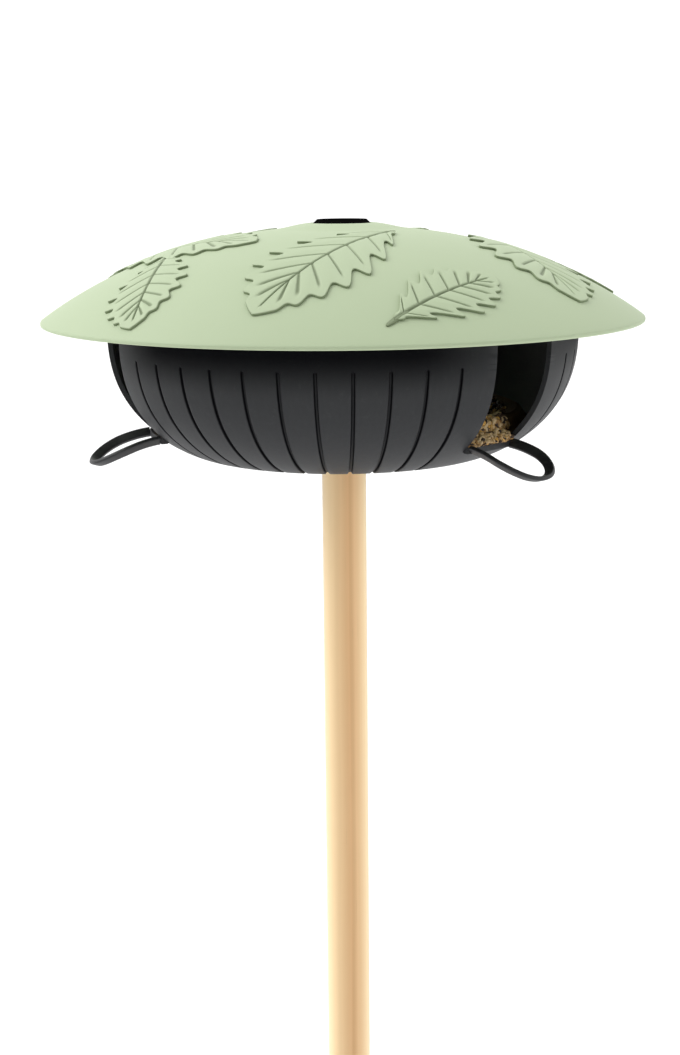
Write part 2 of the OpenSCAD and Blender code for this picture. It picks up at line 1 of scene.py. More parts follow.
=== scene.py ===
"""Looks of the seed bird feeder: a domed roof with raised leaves, a ribbed bowl with three feeding
openings, loop perches, seed and a wooden pole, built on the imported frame.

Lengths are worked out in millimetres and stored in metres. +Z is up, and the axis is the pole's.
"""

import math

import bmesh
import bpy
import numpy as np
from mathutils import Matrix, Vector


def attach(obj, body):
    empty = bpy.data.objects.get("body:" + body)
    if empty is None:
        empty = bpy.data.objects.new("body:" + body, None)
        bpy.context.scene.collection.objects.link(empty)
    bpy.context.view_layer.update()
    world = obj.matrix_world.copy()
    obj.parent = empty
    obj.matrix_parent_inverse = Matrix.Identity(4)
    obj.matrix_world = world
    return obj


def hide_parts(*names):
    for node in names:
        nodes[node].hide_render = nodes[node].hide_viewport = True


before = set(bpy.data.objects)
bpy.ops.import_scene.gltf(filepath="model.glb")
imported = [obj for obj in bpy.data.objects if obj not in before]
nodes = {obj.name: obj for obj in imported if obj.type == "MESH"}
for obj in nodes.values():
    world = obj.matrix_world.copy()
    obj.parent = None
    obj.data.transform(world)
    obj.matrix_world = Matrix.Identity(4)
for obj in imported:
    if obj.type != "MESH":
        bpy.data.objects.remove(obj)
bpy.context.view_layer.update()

# Sizes are in millimetres and degrees. Those from the bowl's to the seed's follow the CAD source

# Bowl
BASE_Z = 950.0
FLOOR_T = 3.0
WALL = 3.0
BOWL_R = 145.4
BOWL_DEPTH = 81.9
BASE_R = 88.3
SIDE_EXP = 2.666
CORNER_EXP = 1.373
RING_H = 14.0
RIM_Z = BASE_Z + BOWL_DEPTH
FLOOR_Z = BASE_Z + FLOOR_T
POLE_R = 14.0
POLE_HOLE_R = POLE_R + 0.25
DRAIN_COUNT = 12
DRAIN_CIRCLE_R = 77.0
DRAIN_R = 2.0
SCREW_COUNT = 4
SCREW_CIRCLE_R = 31.0
SCREW_HOLE_R = 2.03
SCREW_SINK_R = 3.93
SCREW_SINK_H = 1.9

# Grooves
GROOVE_PITCH = 8.2
GROOVE_COUNT = 11
GROOVE_W = 2.2
GROOVE_DEPTH = 1.6
GROOVE_DROP = 16.0
GROOVE_END_R = 80.0

# Openings, with the sills in them
REAR = 90.0
PANEL = 120.0
OPENING_HALF = 9.7
OPENING_RISE = 4.0
SILL_H = 13.4
SILL_DROP = BOWL_DEPTH - SILL_H
SILL_Z = BASE_Z + SILL_H
SILL_STAND = 4.6
SILL_T = 3.0
SILL_LIP = 1.0
SILL_HOOK = 4.0
FLANGE_T = 1.8

# Perches
PERCHES = (("perch_rear", REAR), ("perch_front_left", REAR + PANEL),
           ("perch_front_right", REAR + 2 * PANEL))
PERCH_CLEAR = 0.2
PERCH_REACH = 35.8
PERCH_HALF = 17.7
PERCH_FLARE = 0.18
PERCH_END = 20.0
PERCH_SLOPE = 0.11
PERCH_ARCH = 7.4
PERCH_ROOT_H = 1.2
STRIP_W = 6.0
STRIP_T = 2.8
STRIP_LEAN = 40.0

# Roof and column
ROOF_R = 185.0
ROOF_RISE = 54.7
ROOF_EDGE = 2.0
ROOF_SIDE_EXP = 2.267
ROOF_EDGE_EXP = 1.04
ROOF_T = 2.6
CROWN_Z = RIM_Z + ROOF_EDGE + ROOF_RISE
COLUMN_TOP_Z = RIM_Z + 30.0
CENTRING_R = BOWL_R - WALL - 0.6
CENTRING_T = 2.5
CENTRING_Z = RIM_Z + 6.0
RIB_COUNT = 6
RIB_T = 2.0
RIB_OUTER_Z = RIM_Z + 15.0
HUB_R = 15.0
HUB_STEP = 4.0
SKIRT_R = 20.0
SKIRT_T = 2.2
SKIRT_H = 8.0
STEM_HOLE_R = 6.06
CLIP_RECESS_R = 10.0
CLIP_RECESS_H = 3.5
SEAT_DEPTH = 0.9
LEAF_H = 1.5

# Seed and the cone in it
SEED_CLEAR = 0.4
SEED_FRONT_H = 14.5
SEED_INNER_H = 7.0
CONE_R = 64.0
CONE_H = 34.0
CONE_T = 2.0
CONE_TOP_R = 19.4
CONE_TOP_Z = FLOOR_Z + CONE_H

# The roof's crown swells a little round the knob, out to this radius
SWELL_H = 2.3
SWELL_R = 42.0
# The photo looks at the feeder from this direction
CAMERA_AZIMUTH = 14.4
# The stage's floor is half a millimetre below the pole's tip, in metres
STAGE_Z = -0.1855


# Meshes


def linked(name, data):
    """A new object in the scene."""
    obj = bpy.data.objects.new(name, data)
    bpy.context.scene.collection.objects.link(obj)
    return obj


def piece(name, verts, faces, body, material, values, sharp=None):
    """A piece from points in millimetres, a list of quad and triangle index arrays and its values
    at the points. Edges past the angle sharp are left hard."""
    mesh = bpy.data.meshes.new(name)
    sizes = np.concatenate([np.full(len(f), f.shape[1], np.int32) for f in faces])
    loops = np.concatenate([f.ravel() for f in faces]).astype(np.int32)
    mesh.vertices.add(len(verts))
    mesh.vertices.foreach_set("co", (verts * 0.001).astype(np.float32).ravel())
    mesh.loops.add(len(loops))
    mesh.loops.foreach_set("vertex_index", loops)
    mesh.polygons.add(len(sizes))
    starts = np.concatenate([[0], np.cumsum(sizes)[:-1]]).astype(np.int32)
    mesh.polygons.foreach_set("loop_start", starts)
    mesh.polygons.foreach_set("loop_total", sizes)
    for key, value in values.items():
        layer = mesh.attributes.new(key, "FLOAT", "POINT")
        layer.data.foreach_set("value", value.astype(np.float32))
    mesh.update(calc_edges=True)
    weld(mesh)
    if sharp:
        mesh.set_sharp_from_angle(angle=math.radians(sharp))
    mesh.materials.append(material)
    obj = linked(name, mesh)
    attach(obj, body)
    return obj


def weld(mesh):
    """Joins points that lie on each other, turns the faces outwards and leaves them smooth."""
    work = bmesh.new()
    work.from_mesh(mesh)
    bmesh.ops.remove_doubles(work, verts=work.verts, dist=5e-7)
    bmesh.ops.recalc_face_normals(work, faces=work.faces)
    if work.calc_volume(signed=True) < 0:
        bmesh.ops.reverse_faces(work, faces=work.faces)
    for face in work.faces:
        face.smooth = True
    work.to_mesh(mesh)
    work.free()


def grid_faces(rows, columns, close_rows=False, close_columns=False, keep=None, flip=False):
    """Quads over a grid of points stored row by row. A mask, keep, picks some of them."""
    i = np.arange(rows if close_rows else rows - 1)
    j = np.arange(columns if close_columns else columns - 1)
    i, j = np.meshgrid(i, j, indexing="ij")
    i2, j2 = (i + 1) % rows, (j + 1) % columns
    a, b = i * columns + j, i * columns + j2
    c, d = i2 * columns + j2, i2 * columns + j
    quads = np.stack([a, b, c, d], -1)
    if flip:
        quads = quads[..., ::-1]
    if keep is not None:
        return quads[keep]
    return quads.reshape(-1, 4)


class Parts:
    """Collects the points, faces and painted shade of several surfaces for one piece."""

    def __init__(self):
        self.verts, self.faces, self.dark, self.count = [], [], [], 0

    def add(self, verts, faces, dark=0.0):
        verts = np.asarray(verts, float).reshape(-1, 3)
        self.faces.append(faces + self.count)
        self.verts.append(verts)
        self.dark.append(np.broadcast_to(np.ravel(dark), len(verts)))
        self.count += len(verts)

    def grid(self, points, dark=0.0, closed=True, **how):
        """Adds a grid of points with faces over it, closed round its columns or open."""
        self.add(points, grid_faces(*points.shape[:2], close_columns=closed, **how), dark)

    def build(self, name, body, material, sharp=None):
        quads = [f for f in self.faces if f.shape[1] == 4]
        tris = [f for f in self.faces if f.shape[1] == 3]
        sets = [np.concatenate(s) for s in (quads, tris) if s]
        values = {"dark": np.concatenate(self.dark)}
        verts = np.concatenate(self.verts)
        return piece(name, verts, sets, body, material, values, sharp)


def unit(vectors):
    """Vectors brought to length 1."""
    return vectors / np.linalg.norm(vectors, axis=-1, keepdims=True)


def smoothstep(x, low, high):
    """From 0 at low to 1 at high, level at both ends."""
    t = np.clip((x - low) / (high - low), 0, 1)
    return t * t * (3 - 2 * t)


def rounded(points, radius):
    """A closed outline with each corner turned into a small arc of four points."""
    p = np.asarray(points, float)
    back, ahead = np.roll(p, 1, 0) - p, np.roll(p, -1, 0) - p
    shorter = np.minimum(*(np.linalg.norm(way, axis=1, keepdims=True) for way in (back, ahead)))
    cut = np.minimum(shorter * 0.45, radius)
    a, b = p + unit(back) * cut, p + unit(ahead) * cut
    t = np.linspace(0, 1, 4)[None, :, None]
    arc = a[:, None] * (1 - t) ** 2 + 2 * p[:, None] * t * (1 - t) + b[:, None] * t**2
    return arc.reshape(-1, 2)


def round_axis(r, z, a):
    """Points at radius r and height z on each direction a, given in radians."""
    return np.stack([r * np.cos(a), r * np.sin(a), z + 0 * a], -1)


def spun(outline, a):
    """A grid of an outline's points (r, z), turned to each direction a."""
    outline = np.asarray(outline, float)
    return round_axis(outline[:, :1], outline[:, 1:], a)


def all_round(count):
    """Even directions round a circle, in radians."""
    return np.linspace(0, 2 * math.pi, count, endpoint=False)


def turned_by(verts, degrees):
    """Points turned about the axis."""
    c, s = math.cos(math.radians(degrees)), math.sin(math.radians(degrees))
    x, y = verts[..., 0], verts[..., 1]
    return np.stack([x * c - y * s, x * s + y * c, verts[..., 2]], -1)


# Profiles


def side_point(a):
    """The bowl's outer side: r and z are powers of the cosine and sine of an angle from 0 to 90."""
    a = np.radians(a)
    r = BASE_R + (BOWL_R - BASE_R) * np.clip(np.cos(a), 0, 1) ** (2 / CORNER_EXP)
    z = RIM_Z - BOWL_DEPTH * np.clip(np.sin(a), 0, 1) ** (2 / SIDE_EXP)
    return np.stack([r, z], -1)


def side_skin(a, off):
    """The bowl's side moved straight outwards by off."""
    d = side_point(np.minimum(a + 0.5, 90)) - side_point(np.maximum(a - 0.5, 0))
    return side_point(a) + unit(np.stack([-d[..., 1], d[..., 0]], -1)) * off


def side_angle(drop):
    """The angle at which the bowl's side passes a height below the roof's rim."""
    return np.degrees(np.arcsin((drop / BOWL_DEPTH) ** (SIDE_EXP / 2)))


def dome_z(r):
    """The roof's outer face: height falls with a power of the radius."""
    s = np.clip(r / ROOF_R, 0, 1)
    return RIM_Z + ROOF_EDGE + ROOF_RISE * (1 - s**ROOF_SIDE_EXP) ** (1 / ROOF_EDGE_EXP)


def dome_normal(x, y):
    """Unit normals of the roof's outer face at plan points."""
    r = np.hypot(x, y) + 1e-9
    slope = (dome_z(r + 0.05) - dome_z(np.maximum(r - 0.05, 0))) / 0.1
    return unit(np.stack([-slope * x / r, -slope * y / r, np.ones_like(r)], -1))


def dome_inner(r, off=ROOF_T):
    """The roof's outer face moved straight inwards by off."""
    n = dome_normal(r, 0 * r)
    return np.stack([r - off * n[..., 0], dome_z(r) - off * n[..., 2]], -1)


# Where the bowl's side passes the sill, and the radii of the sill's front and of the seed there
SILL_DEG = float(side_angle(SILL_DROP))
SILL_FRONT_R = side_point(SILL_DEG)[0] + SILL_STAND
SEED_EDGE_R = side_skin(SILL_DEG, -WALL - SEED_CLEAR)[0]


# Materials


def camera_axes():
    """The directions right and away, level, as the photo's camera has them."""
    a = math.radians(CAMERA_AZIMUTH)
    return Vector((math.cos(a), math.sin(a), 0)), Vector((-math.sin(a), math.cos(a), 0))


def seen(right, away, up):
    """A point given as the camera sees it: right, away and up from the axis, in metres."""
    along, across = camera_axes()
    return along * right + across * away + Vector((0, 0, up))


class Shader:
    """A node tree with the few steps that the materials below share."""

    def __init__(self, name):
        self.material = bpy.data.materials.new(name)
        self.material.use_nodes = True
        self.tree = self.material.node_tree
        self.bsdf = self.tree.nodes["Principled BSDF"]
        self.place = self.node("ShaderNodeTexCoord").outputs["Object"]

    def node(self, kind, **inputs):
        """A node with some inputs, named with _ for each space."""
        made = self.tree.nodes.new(kind)
        for key, value in inputs.items():
            self.put(made.inputs[key.replace("_", " ")], value)
        return made

    def put(self, socket, value):
        """Links another node's output to the socket, or sets a constant on it."""
        if isinstance(value, bpy.types.NodeSocket):
            self.tree.links.new(value, socket)
        else:
            socket.default_value = value

    def stretched(self, across, along):
        """Coordinates scaled by one number across the axis and another along it."""
        mapping = self.node("ShaderNodeMapping", Vector=self.place)
        mapping.inputs["Scale"].default_value = (across, across, along)
        return mapping.outputs["Vector"]

    def noise(self, scale, detail=3.0, roughness=0.5, vector=None):
        made = self.node("ShaderNodeTexNoise", Scale=scale, Detail=detail, Roughness=roughness)
        self.put(made.inputs["Vector"], vector or self.place)
        return made.outputs["Fac"]

    def ramp(self, factor, *stops):
        """A colour ramp with stops of a position and a colour or a grey."""
        made = self.node("ShaderNodeValToRGB", Fac=factor)
        ramp = made.color_ramp
        while len(ramp.elements) < len(stops):
            ramp.elements.new(0.5)
        for element, (position, colour) in zip(ramp.elements, stops):
            element.position = position
            element.color = (*colour, 1) if isinstance(colour, tuple) else (colour,) * 3 + (1,)
        return made.outputs["Color"]

    def mix(self, factor, a, b):
        """From colour a at factor 0 to colour b at 1."""
        made = self.tree.nodes.new("ShaderNodeMix")
        made.data_type = "RGBA"
        self.put(made.inputs[0], factor)
        for socket, value in ((made.inputs[6], a), (made.inputs[7], b)):
            self.put(socket, value if isinstance(value, bpy.types.NodeSocket) else (*value, 1))
        return made.outputs[2]

    def math(self, operation, a, b=0.0):
        made = self.tree.nodes.new("ShaderNodeMath")
        made.operation = operation
        self.put(made.inputs[0], a)
        self.put(made.inputs[1], b)
        return made.outputs[0]

    def scaled(self, value, factor, start=0.0):
        """The value times a factor, added to a start."""
        return self.math("ADD", self.math("MULTIPLY", value, factor), start)

    def attribute(self, name):
        made = self.tree.nodes.new("ShaderNodeAttribute")
        made.attribute_name = name
        return made.outputs["Fac"]

    def painted_side_highlight(self):
        """A painted highlight across the pole as the camera sees it: from 0 a little right of its
        middle to 1 on its left and right edges.
        """
        dot = self.node("ShaderNodeVectorMath")
        dot.operation = "DOT_PRODUCT"
        self.put(dot.inputs[0], self.place)
        dot.inputs[1].default_value = seen(500 / POLE_R, 0, 0)
        across = self.scaled(dot.outputs["Value"], 1.0, 0.5)
        return self.ramp(across, (0.10, 1.0), (0.35, 0.5), (0.60, 0.0), (0.78, 0.4), (0.95, 1.0))

    def bump(self, height, strength, distance):
        made = self.node("ShaderNodeBump", Height=height, Strength=strength, Distance=distance)
        self.put(self.bsdf.inputs["Normal"], made.outputs["Normal"])

    def finish(self, colour, roughness, metallic=0.0, specular=0.5):
        """Sets the surface, each value a number or another node's output, and gives the material."""
        self.put(self.bsdf.inputs["Base Color"], colour)
        self.put(self.bsdf.inputs["Roughness"], roughness)
        self.put(self.bsdf.inputs["Metallic"], metallic)
        self.put(self.bsdf.inputs["Specular IOR Level"], specular)
        return self.material


def roof_plastic(name):
    """Pale sage plastic: a fine moulded grain, faint clouds and dust marks; painted shade darkens the
    leaves' pressed lines, their walls and their stems.
    """
    s = Shader(name)
    cloud = s.noise(9.0, 3.0)
    colour = s.mix(cloud, (0.440, 0.525, 0.345), (0.475, 0.565, 0.375))
    colour = s.mix(s.scaled(s.noise(900.0, 2.0), 0.10), colour, (0.36, 0.44, 0.27))
    dust = s.ramp(s.noise(170.0, 4.0, 0.7), (0.60, 0.0), (0.80, 1.0))
    colour = s.mix(s.scaled(dust, 0.10), colour, (0.55, 0.59, 0.48))
    # Painted shade from the dark attribute: the leaves' walls, pressed midribs and veins, and stems
    colour = s.mix(s.attribute("dark"), colour, (0.085, 0.115, 0.048))
    s.bump(s.noise(1400.0, 2.0), 0.10, 0.0004)
    return s.finish(colour, s.scaled(cloud, 0.08, 0.52), specular=0.2)


def bowl_plastic(name):
    """Anthracite plastic: faint upright flow lines and light dust marks; painted shade makes the
    grooves almost black and darkens the band under the roof.
    """
    s = Shader(name)
    cloud = s.noise(14.0, 4.0)
    colour = s.mix(cloud, (0.021, 0.022, 0.0235), (0.028, 0.029, 0.031))
    flow = s.noise(1.0, 3.0, 0.6, vector=s.stretched(420.0, 5.0))
    colour = s.mix(s.scaled(flow, 0.35), colour, (0.044, 0.046, 0.050))
    dust = s.ramp(s.noise(240.0, 4.0, 0.7), (0.58, 0.0), (0.80, 1.0))
    colour = s.mix(s.scaled(dust, 0.08), colour, (0.13, 0.13, 0.13))
    # Painted shade from the dark attribute: in the grooves, and the roof's painted shadow on the band
    # under it; the specular is lowered there too
    colour = s.mix(s.attribute("dark"), colour, (0.002, 0.002, 0.003))
    s.bump(s.noise(1500.0, 2.0), 0.12, 0.0004)
    specular = s.scaled(s.attribute("dark"), -0.18, 0.18)
    return s.finish(colour, s.scaled(cloud, 0.12, 0.46), specular=specular)


def dark_plastic(name, colour, light, rough, specular=0.4):
    """Dark moulded plastic: a fine grain, slight cloudiness and a few lighter rub marks."""
    s = Shader(name)
    cloud = s.noise(30.0, 4.0)
    rubbed = s.ramp(s.noise(260.0, 4.0, 0.7), (0.56, 0.0), (0.80, 1.0))
    mixed = s.mix(cloud, colour, light)
    mixed = s.mix(s.scaled(rubbed, 0.12), mixed, tuple(2.5 * c + 0.02 for c in light))
    s.bump(s.noise(1500.0, 2.0), 0.15, 0.0004)
    return s.finish(mixed, s.scaled(cloud, 0.12, rough), specular=specular)


def pole_wood(name):
    """Pale turned wood: long fibres up the pole, faint growth bands and small dark pores, with a
    painted highlight on its left and right sides as the camera sees them.
    """
    s = Shader(name)
    bands = s.node("ShaderNodeTexWave", Scale=1.1, Distortion=6.0, Detail=3.0)
    bands.inputs["Detail Scale"].default_value = 1.2
    s.put(bands.inputs["Vector"], s.stretched(26.0, 1.0))
    fibre = s.noise(1.0, 5.0, 0.65, vector=s.stretched(600.0, 6.0))
    pore = s.noise(1.0, 3.0, 0.6, vector=s.stretched(900.0, 26.0))
    pore = s.ramp(pore, (0.63, 0.0), (0.76, 1.0))
    light, middle, deep = (0.71, 0.40, 0.175), (0.75, 0.435, 0.20), (0.64, 0.35, 0.145)
    colour = s.ramp(bands.outputs["Fac"], (0.0, light), (0.55, middle), (1.0, deep))
    colour = s.mix(s.scaled(fibre, 0.34), colour, (0.60, 0.335, 0.135))
    colour = s.mix(s.scaled(pore, 0.28), colour, (0.40, 0.235, 0.10))
    patch = s.noise(1.0, 3.0, vector=s.stretched(16.0, 5.0))
    colour = s.mix(s.scaled(patch, 0.40), colour, (0.83, 0.565, 0.30))
    # Painted highlight on the pole's left and right sides
    colour = s.mix(s.painted_side_highlight(), colour, (0.95, 0.71, 0.40))
    s.bump(s.math("SUBTRACT", fibre, s.scaled(pore, 0.6)), 0.2, 0.0005)
    s.bsdf.inputs["Sheen Weight"].default_value = 0.5
    s.bsdf.inputs["Sheen Roughness"].default_value = 0.4
    return s.finish(colour, s.scaled(fibre, 0.15, 0.44), specular=0.45)


def steel(name):
    """Zinc-plated steel with a cloudy grain."""
    s = Shader(name)
    cloud = s.noise(160.0, 4.0)
    colour = s.mix(cloud, (0.50, 0.50, 0.48), (0.66, 0.65, 0.62))
    s.bump(s.noise(2500.0, 2.0), 0.1, 0.0002)
    return s.finish(colour, s.scaled(cloud, 0.2, 0.28), metallic=1.0)


def kernel_skin(name, dark, light, rough):
    """Dry seed: two tones with streaks and a mealy grain; each kernel has a tone of its own."""
    s = Shader(name)
    colour = s.mix(s.attribute("tone"), dark, light)
    streak = s.noise(420.0, 4.0, 0.6)
    colour = s.mix(s.scaled(streak, 0.55), colour, tuple(c * 0.5 for c in dark))
    s.bump(s.noise(1800.0, 2.0), 0.3, 0.0004)
    return s.finish(colour, rough, specular=0.25)


ROOF_SKIN = roof_plastic("sage_roof_plastic")
BOWL_SKIN = bowl_plastic("anthracite_bowl_plastic")
PERCH_SKIN = dark_plastic("black_perch_plastic", (0.012, 0.012, 0.014), (0.02, 0.021, 0.023), 0.42)
COLUMN_SKIN = dark_plastic("column_plastic", (0.030, 0.031, 0.033), (0.042, 0.043, 0.046), 0.5)
KNOB_SKIN = dark_plastic("black_knob_plastic", (0.003, 0.003, 0.003), (0.006, 0.006, 0.006), 0.8, 0.0)
RUBBER_SKIN = dark_plastic("washer_rubber", (0.018, 0.018, 0.018), (0.028, 0.028, 0.028), 0.75)
STEEL_SKIN = steel("zinc_plated_steel")
WOOD_SKIN = pole_wood("pale_pole_wood")
SEED_BED = kernel_skin("seed_bed", (0.10, 0.055, 0.022), (0.16, 0.09, 0.04), 0.85)
WHEAT_SKIN = kernel_skin("wheat_grain", (0.27, 0.145, 0.05), (0.54, 0.34, 0.14), 0.6)
HEART_SKIN = kernel_skin("sunflower_heart", (0.46, 0.31, 0.15), (0.74, 0.57, 0.34), 0.62)
MAIZE_SKIN = kernel_skin("cut_maize", (0.52, 0.27, 0.05), (0.74, 0.48, 0.15), 0.5)
SHELL_SKIN = kernel_skin("sunflower_shell", (0.03, 0.02, 0.015), (0.10, 0.06, 0.035), 0.6)

# The CAD nodes that no mesh of this script replaces
LOOKS = {
    "pole": WOOD_SKIN,
    "column": COLUMN_SKIN,
    "seed_cone": COLUMN_SKIN,
    "seed_fill": SEED_BED,
    "floor_screws": STEEL_SKIN,
    "pole_screw": STEEL_SKIN,
    "pole_washer": STEEL_SKIN,
    "knob_clip": STEEL_SKIN,
    "cross_pin": STEEL_SKIN,
    "roof_washer": RUBBER_SKIN,
    "lock_knob": KNOB_SKIN,
}
for name, look in LOOKS.items():
    nodes[name].data.materials.clear()
    nodes[name].data.materials.append(look)


# Roof


def add_end_caps(parts, rings):
    """Triangles that close a row of rings at its first and last ring."""
    n = rings.shape[1]
    j = np.arange(n)
    fan = np.stack([np.full(n, n), j, (j + 1) % n], -1)
    for ring in (rings[0], rings[-1]):
        parts.add(np.concatenate([ring, [ring.mean(0)]]), fan)


def roof_outline():
    """The roof's section as (r, z): the washer's seat, the crown's swell round the knob and the
    dome, the rolled edge, the centring ring, the hub with its skirt, and the clip's recess."""
    swell_r = 19.0
    outer = np.concatenate([np.linspace(swell_r + 0.5, SWELL_R, 16),
                            np.linspace(SWELL_R + 2, ROOF_R - 7, 60),
                            np.linspace(ROOF_R - 6, ROOF_R - 0.4, 9)])
    swell = SWELL_H * (1 - smoothstep(outer, swell_r, SWELL_R))
    swell_z, seat_z = CROWN_Z + SWELL_H, CROWN_Z - SEAT_DEPTH
    edge = [[-0.05, 1.75], [0, 1.1], [-0.1, 0.45], [-0.5, 0.1], [-0.9, 0], [-1.4, 0.15]]
    ring_in, soft = CENTRING_R - CENTRING_T, 0.5
    top, round_off = COLUMN_TOP_Z, 0.4
    skirt_in, skirt_z = SKIRT_R - SKIRT_T, COLUMN_TOP_Z - SKIRT_H
    hub_z = top + 2 * HUB_STEP
    return np.concatenate([
        [[STEM_HOLE_R, seat_z], [15.8, seat_z], [15.9, CROWN_Z - 0.2], [18.6, CROWN_Z - 0.3]],
        [[18.7, swell_z - 0.9], [swell_r, swell_z - 0.5]],
        np.stack([outer, dome_z(outer) + swell], -1),
        np.array(edge) + [ROOF_R, RIM_Z],
        dome_inner(np.linspace(ROOF_R - 1.8, CENTRING_R + 0.4, 16)),
        [[CENTRING_R, dome_inner(CENTRING_R)[1] - soft], [CENTRING_R, CENTRING_Z + soft]],
        [[CENTRING_R - soft, CENTRING_Z], [ring_in + soft, CENTRING_Z]],
        [[ring_in, CENTRING_Z + soft], [ring_in, dome_inner(ring_in)[1] - soft]],
        dome_inner(np.linspace(ring_in - 0.7, HUB_R + 1.6, 44)),
        [[HUB_R, dome_inner(HUB_R)[1] - 1.5], [HUB_R, hub_z + round_off]],
        [[HUB_R + round_off, hub_z - round_off]],
        [[SKIRT_R - round_off, top + HUB_STEP + round_off], [SKIRT_R, top + HUB_STEP - round_off]],
        [[SKIRT_R, skirt_z + round_off], [SKIRT_R - 0.3, skirt_z]],
        [[skirt_in + 0.3, skirt_z], [skirt_in, skirt_z + round_off], [skirt_in, top]],
        [[CLIP_RECESS_R, top], [CLIP_RECESS_R, top + CLIP_RECESS_H]],
        [[STEM_HOLE_R, top + CLIP_RECESS_H]],
    ])


def build_roof():
    """The turned roof, and the flat ribs between the hub and the centring ring under it."""
    parts = Parts()
    parts.grid(spun(roof_outline()[::-1], all_round(288)), close_rows=True)
    rib_end = CENTRING_R - CENTRING_T / 2
    r = np.linspace(HUB_R - 0.4, rib_end - 0.15, 40)
    top = dome_inner(r, ROOF_T * 0.6)[:, 1]
    low = np.interp(r, [HUB_R - 2, rib_end], [COLUMN_TOP_Z + HUB_STEP, RIB_OUTER_Z])
    half, soft = RIB_T / 2, 0.4
    section = ((half, top), (half, low + 0.5), (half - soft, low),
               (soft - half, low), (-half, low + 0.5), (-half, top))
    rib = np.stack([np.stack([r, np.full_like(r, side), z], -1) for side, z in section], 1)
    for k in range(RIB_COUNT):
        rings = turned_by(rib, 360 / RIB_COUNT * (k + 0.5))
        parts.grid(rings)
        add_end_caps(parts, rings)
    roof = parts.build("roof_shell", "roof", ROOF_SKIN, sharp=32)
    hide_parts("roof")


# Leaves in plan as the camera sees them: tip, direction from tip to base in degrees, length, half
# width, slant of the veins, depth of the notches near the base, and length of the stem
LEAVES = {
    "leaf_front": ((-48, -157), 55.5, 132, 34, 27, 0.6, 4),
    "leaf_front_small": ((84.5, -105), 226.5, 80, 22.5, 14, 0.6, 11),
    "leaf_left_small": ((-115, -136), 83, 93, 23, 16, 0.5, 0),
    "leaf_right": ((133, -95), 111.5, 130, 33, 26, 0.6, 4),
    "leaf_left": ((-50, -59), 137, 128, 31, 26, 0.6, 4),
    "leaf_right_small": ((167, 2), 131, 84, 21, 14, 0.6, 8),
    "leaf_back_right": ((38, 152), -83, 112, 29, 24, 0.6, 4),
    "leaf_back_small": ((-18, 92), 80, 70, 18, 12, 0.6, 8),
    "leaf_back_left": ((-122, 118), -44, 106, 30, 24, 0.6, 4),
    "leaf_back_right_small": ((92, 138), -62, 64, 17, 11, 0.6, 8),
}
LOBES = 8
# Share of a leaf's length at which its two sides meet again
LEAF_END = 1.06
# The place of lobe number p is LOBE_SCALE times a power of p + LOBE_START
LOBE_SCALE, LOBE_START, LOBE_POWER = 0.0155, 1.9, 1.92
# Shares of the way from the midrib to the first inset of the edge
LEAF_WAYS = (0, 0.012, 0.025, 0.04, 0.06, 0.085, 0.12, 0.17, 0.23, 0.3, 0.37, 0.44, 0.51, 0.58,
             0.64, 0.7, 0.76, 0.82, 0.88, 0.94)
# Distances in from a leaf's edge, with the share of its height there and how much painted shade it has
LEAF_EDGE = ((0.9, 1.0, 0.0), (0.55, 0.985, 0.04), (0.28, 0.93, 0.2), (0.1, 0.83, 0.42),
             (0.0, 0.7, 0.6), (0.0, -0.2, 0.6))


def lobe_at(p):
    """The place of lobe number p from the tip, as a share of the leaf's length."""
    return LOBE_SCALE * np.maximum(p + LOBE_START, 0) ** LOBE_POWER


def leaf_columns():
    """Lobe numbers of a leaf's columns, close together at each vein and notch."""
    near = np.array([0.03, 0.06, 0.1, 0.15, 0.22, 0.3, 0.38, 0.44, 0.48])
    tip = np.linspace(-LOBE_START, -0.52, 24)
    lobes = [np.concatenate([[i - 0.5], i - near[::-1], [i], i + near]) for i in range(LOBES)]
    last = (LEAF_END / LOBE_SCALE) ** (1 / LOBE_POWER) - LOBE_START
    p = np.concatenate([tip, *lobes])
    return np.concatenate([p[p < last - 0.01], [last]])


def leaf_pressed(p, t, s, way, across, length):
    """How far a leaf's midrib and veins are pressed in, from 0 to 1: way is the share of a column's
    way to the edge, and across the share of its length that goes straight across the leaf. The
    midrib widens towards the base, and the veins end short of the edge."""
    rib = 1 - smoothstep(s / (0.55 + 0.6 * t / length), 0.35, 1.25)
    rib *= smoothstep(t, 5.0, 10.0)
    # Distance to the nearest vein, as a share of the vein's width
    pitch = length * LOBE_SCALE * LOBE_POWER * (p + LOBE_START) ** (LOBE_POWER - 1) * across
    off = np.abs(p - np.round(p)) * pitch / np.clip(0.2 * pitch, 0.3, 0.9)
    vein = (1 - smoothstep(off, 0.25, 1.0)) * (p > -0.5)
    vein = vein * (1 - smoothstep(lobe_at(p), 0.88, 0.95)) * (1 - smoothstep(way, 0.62, 0.80))
    return np.maximum(rib, 0.85 * vein)


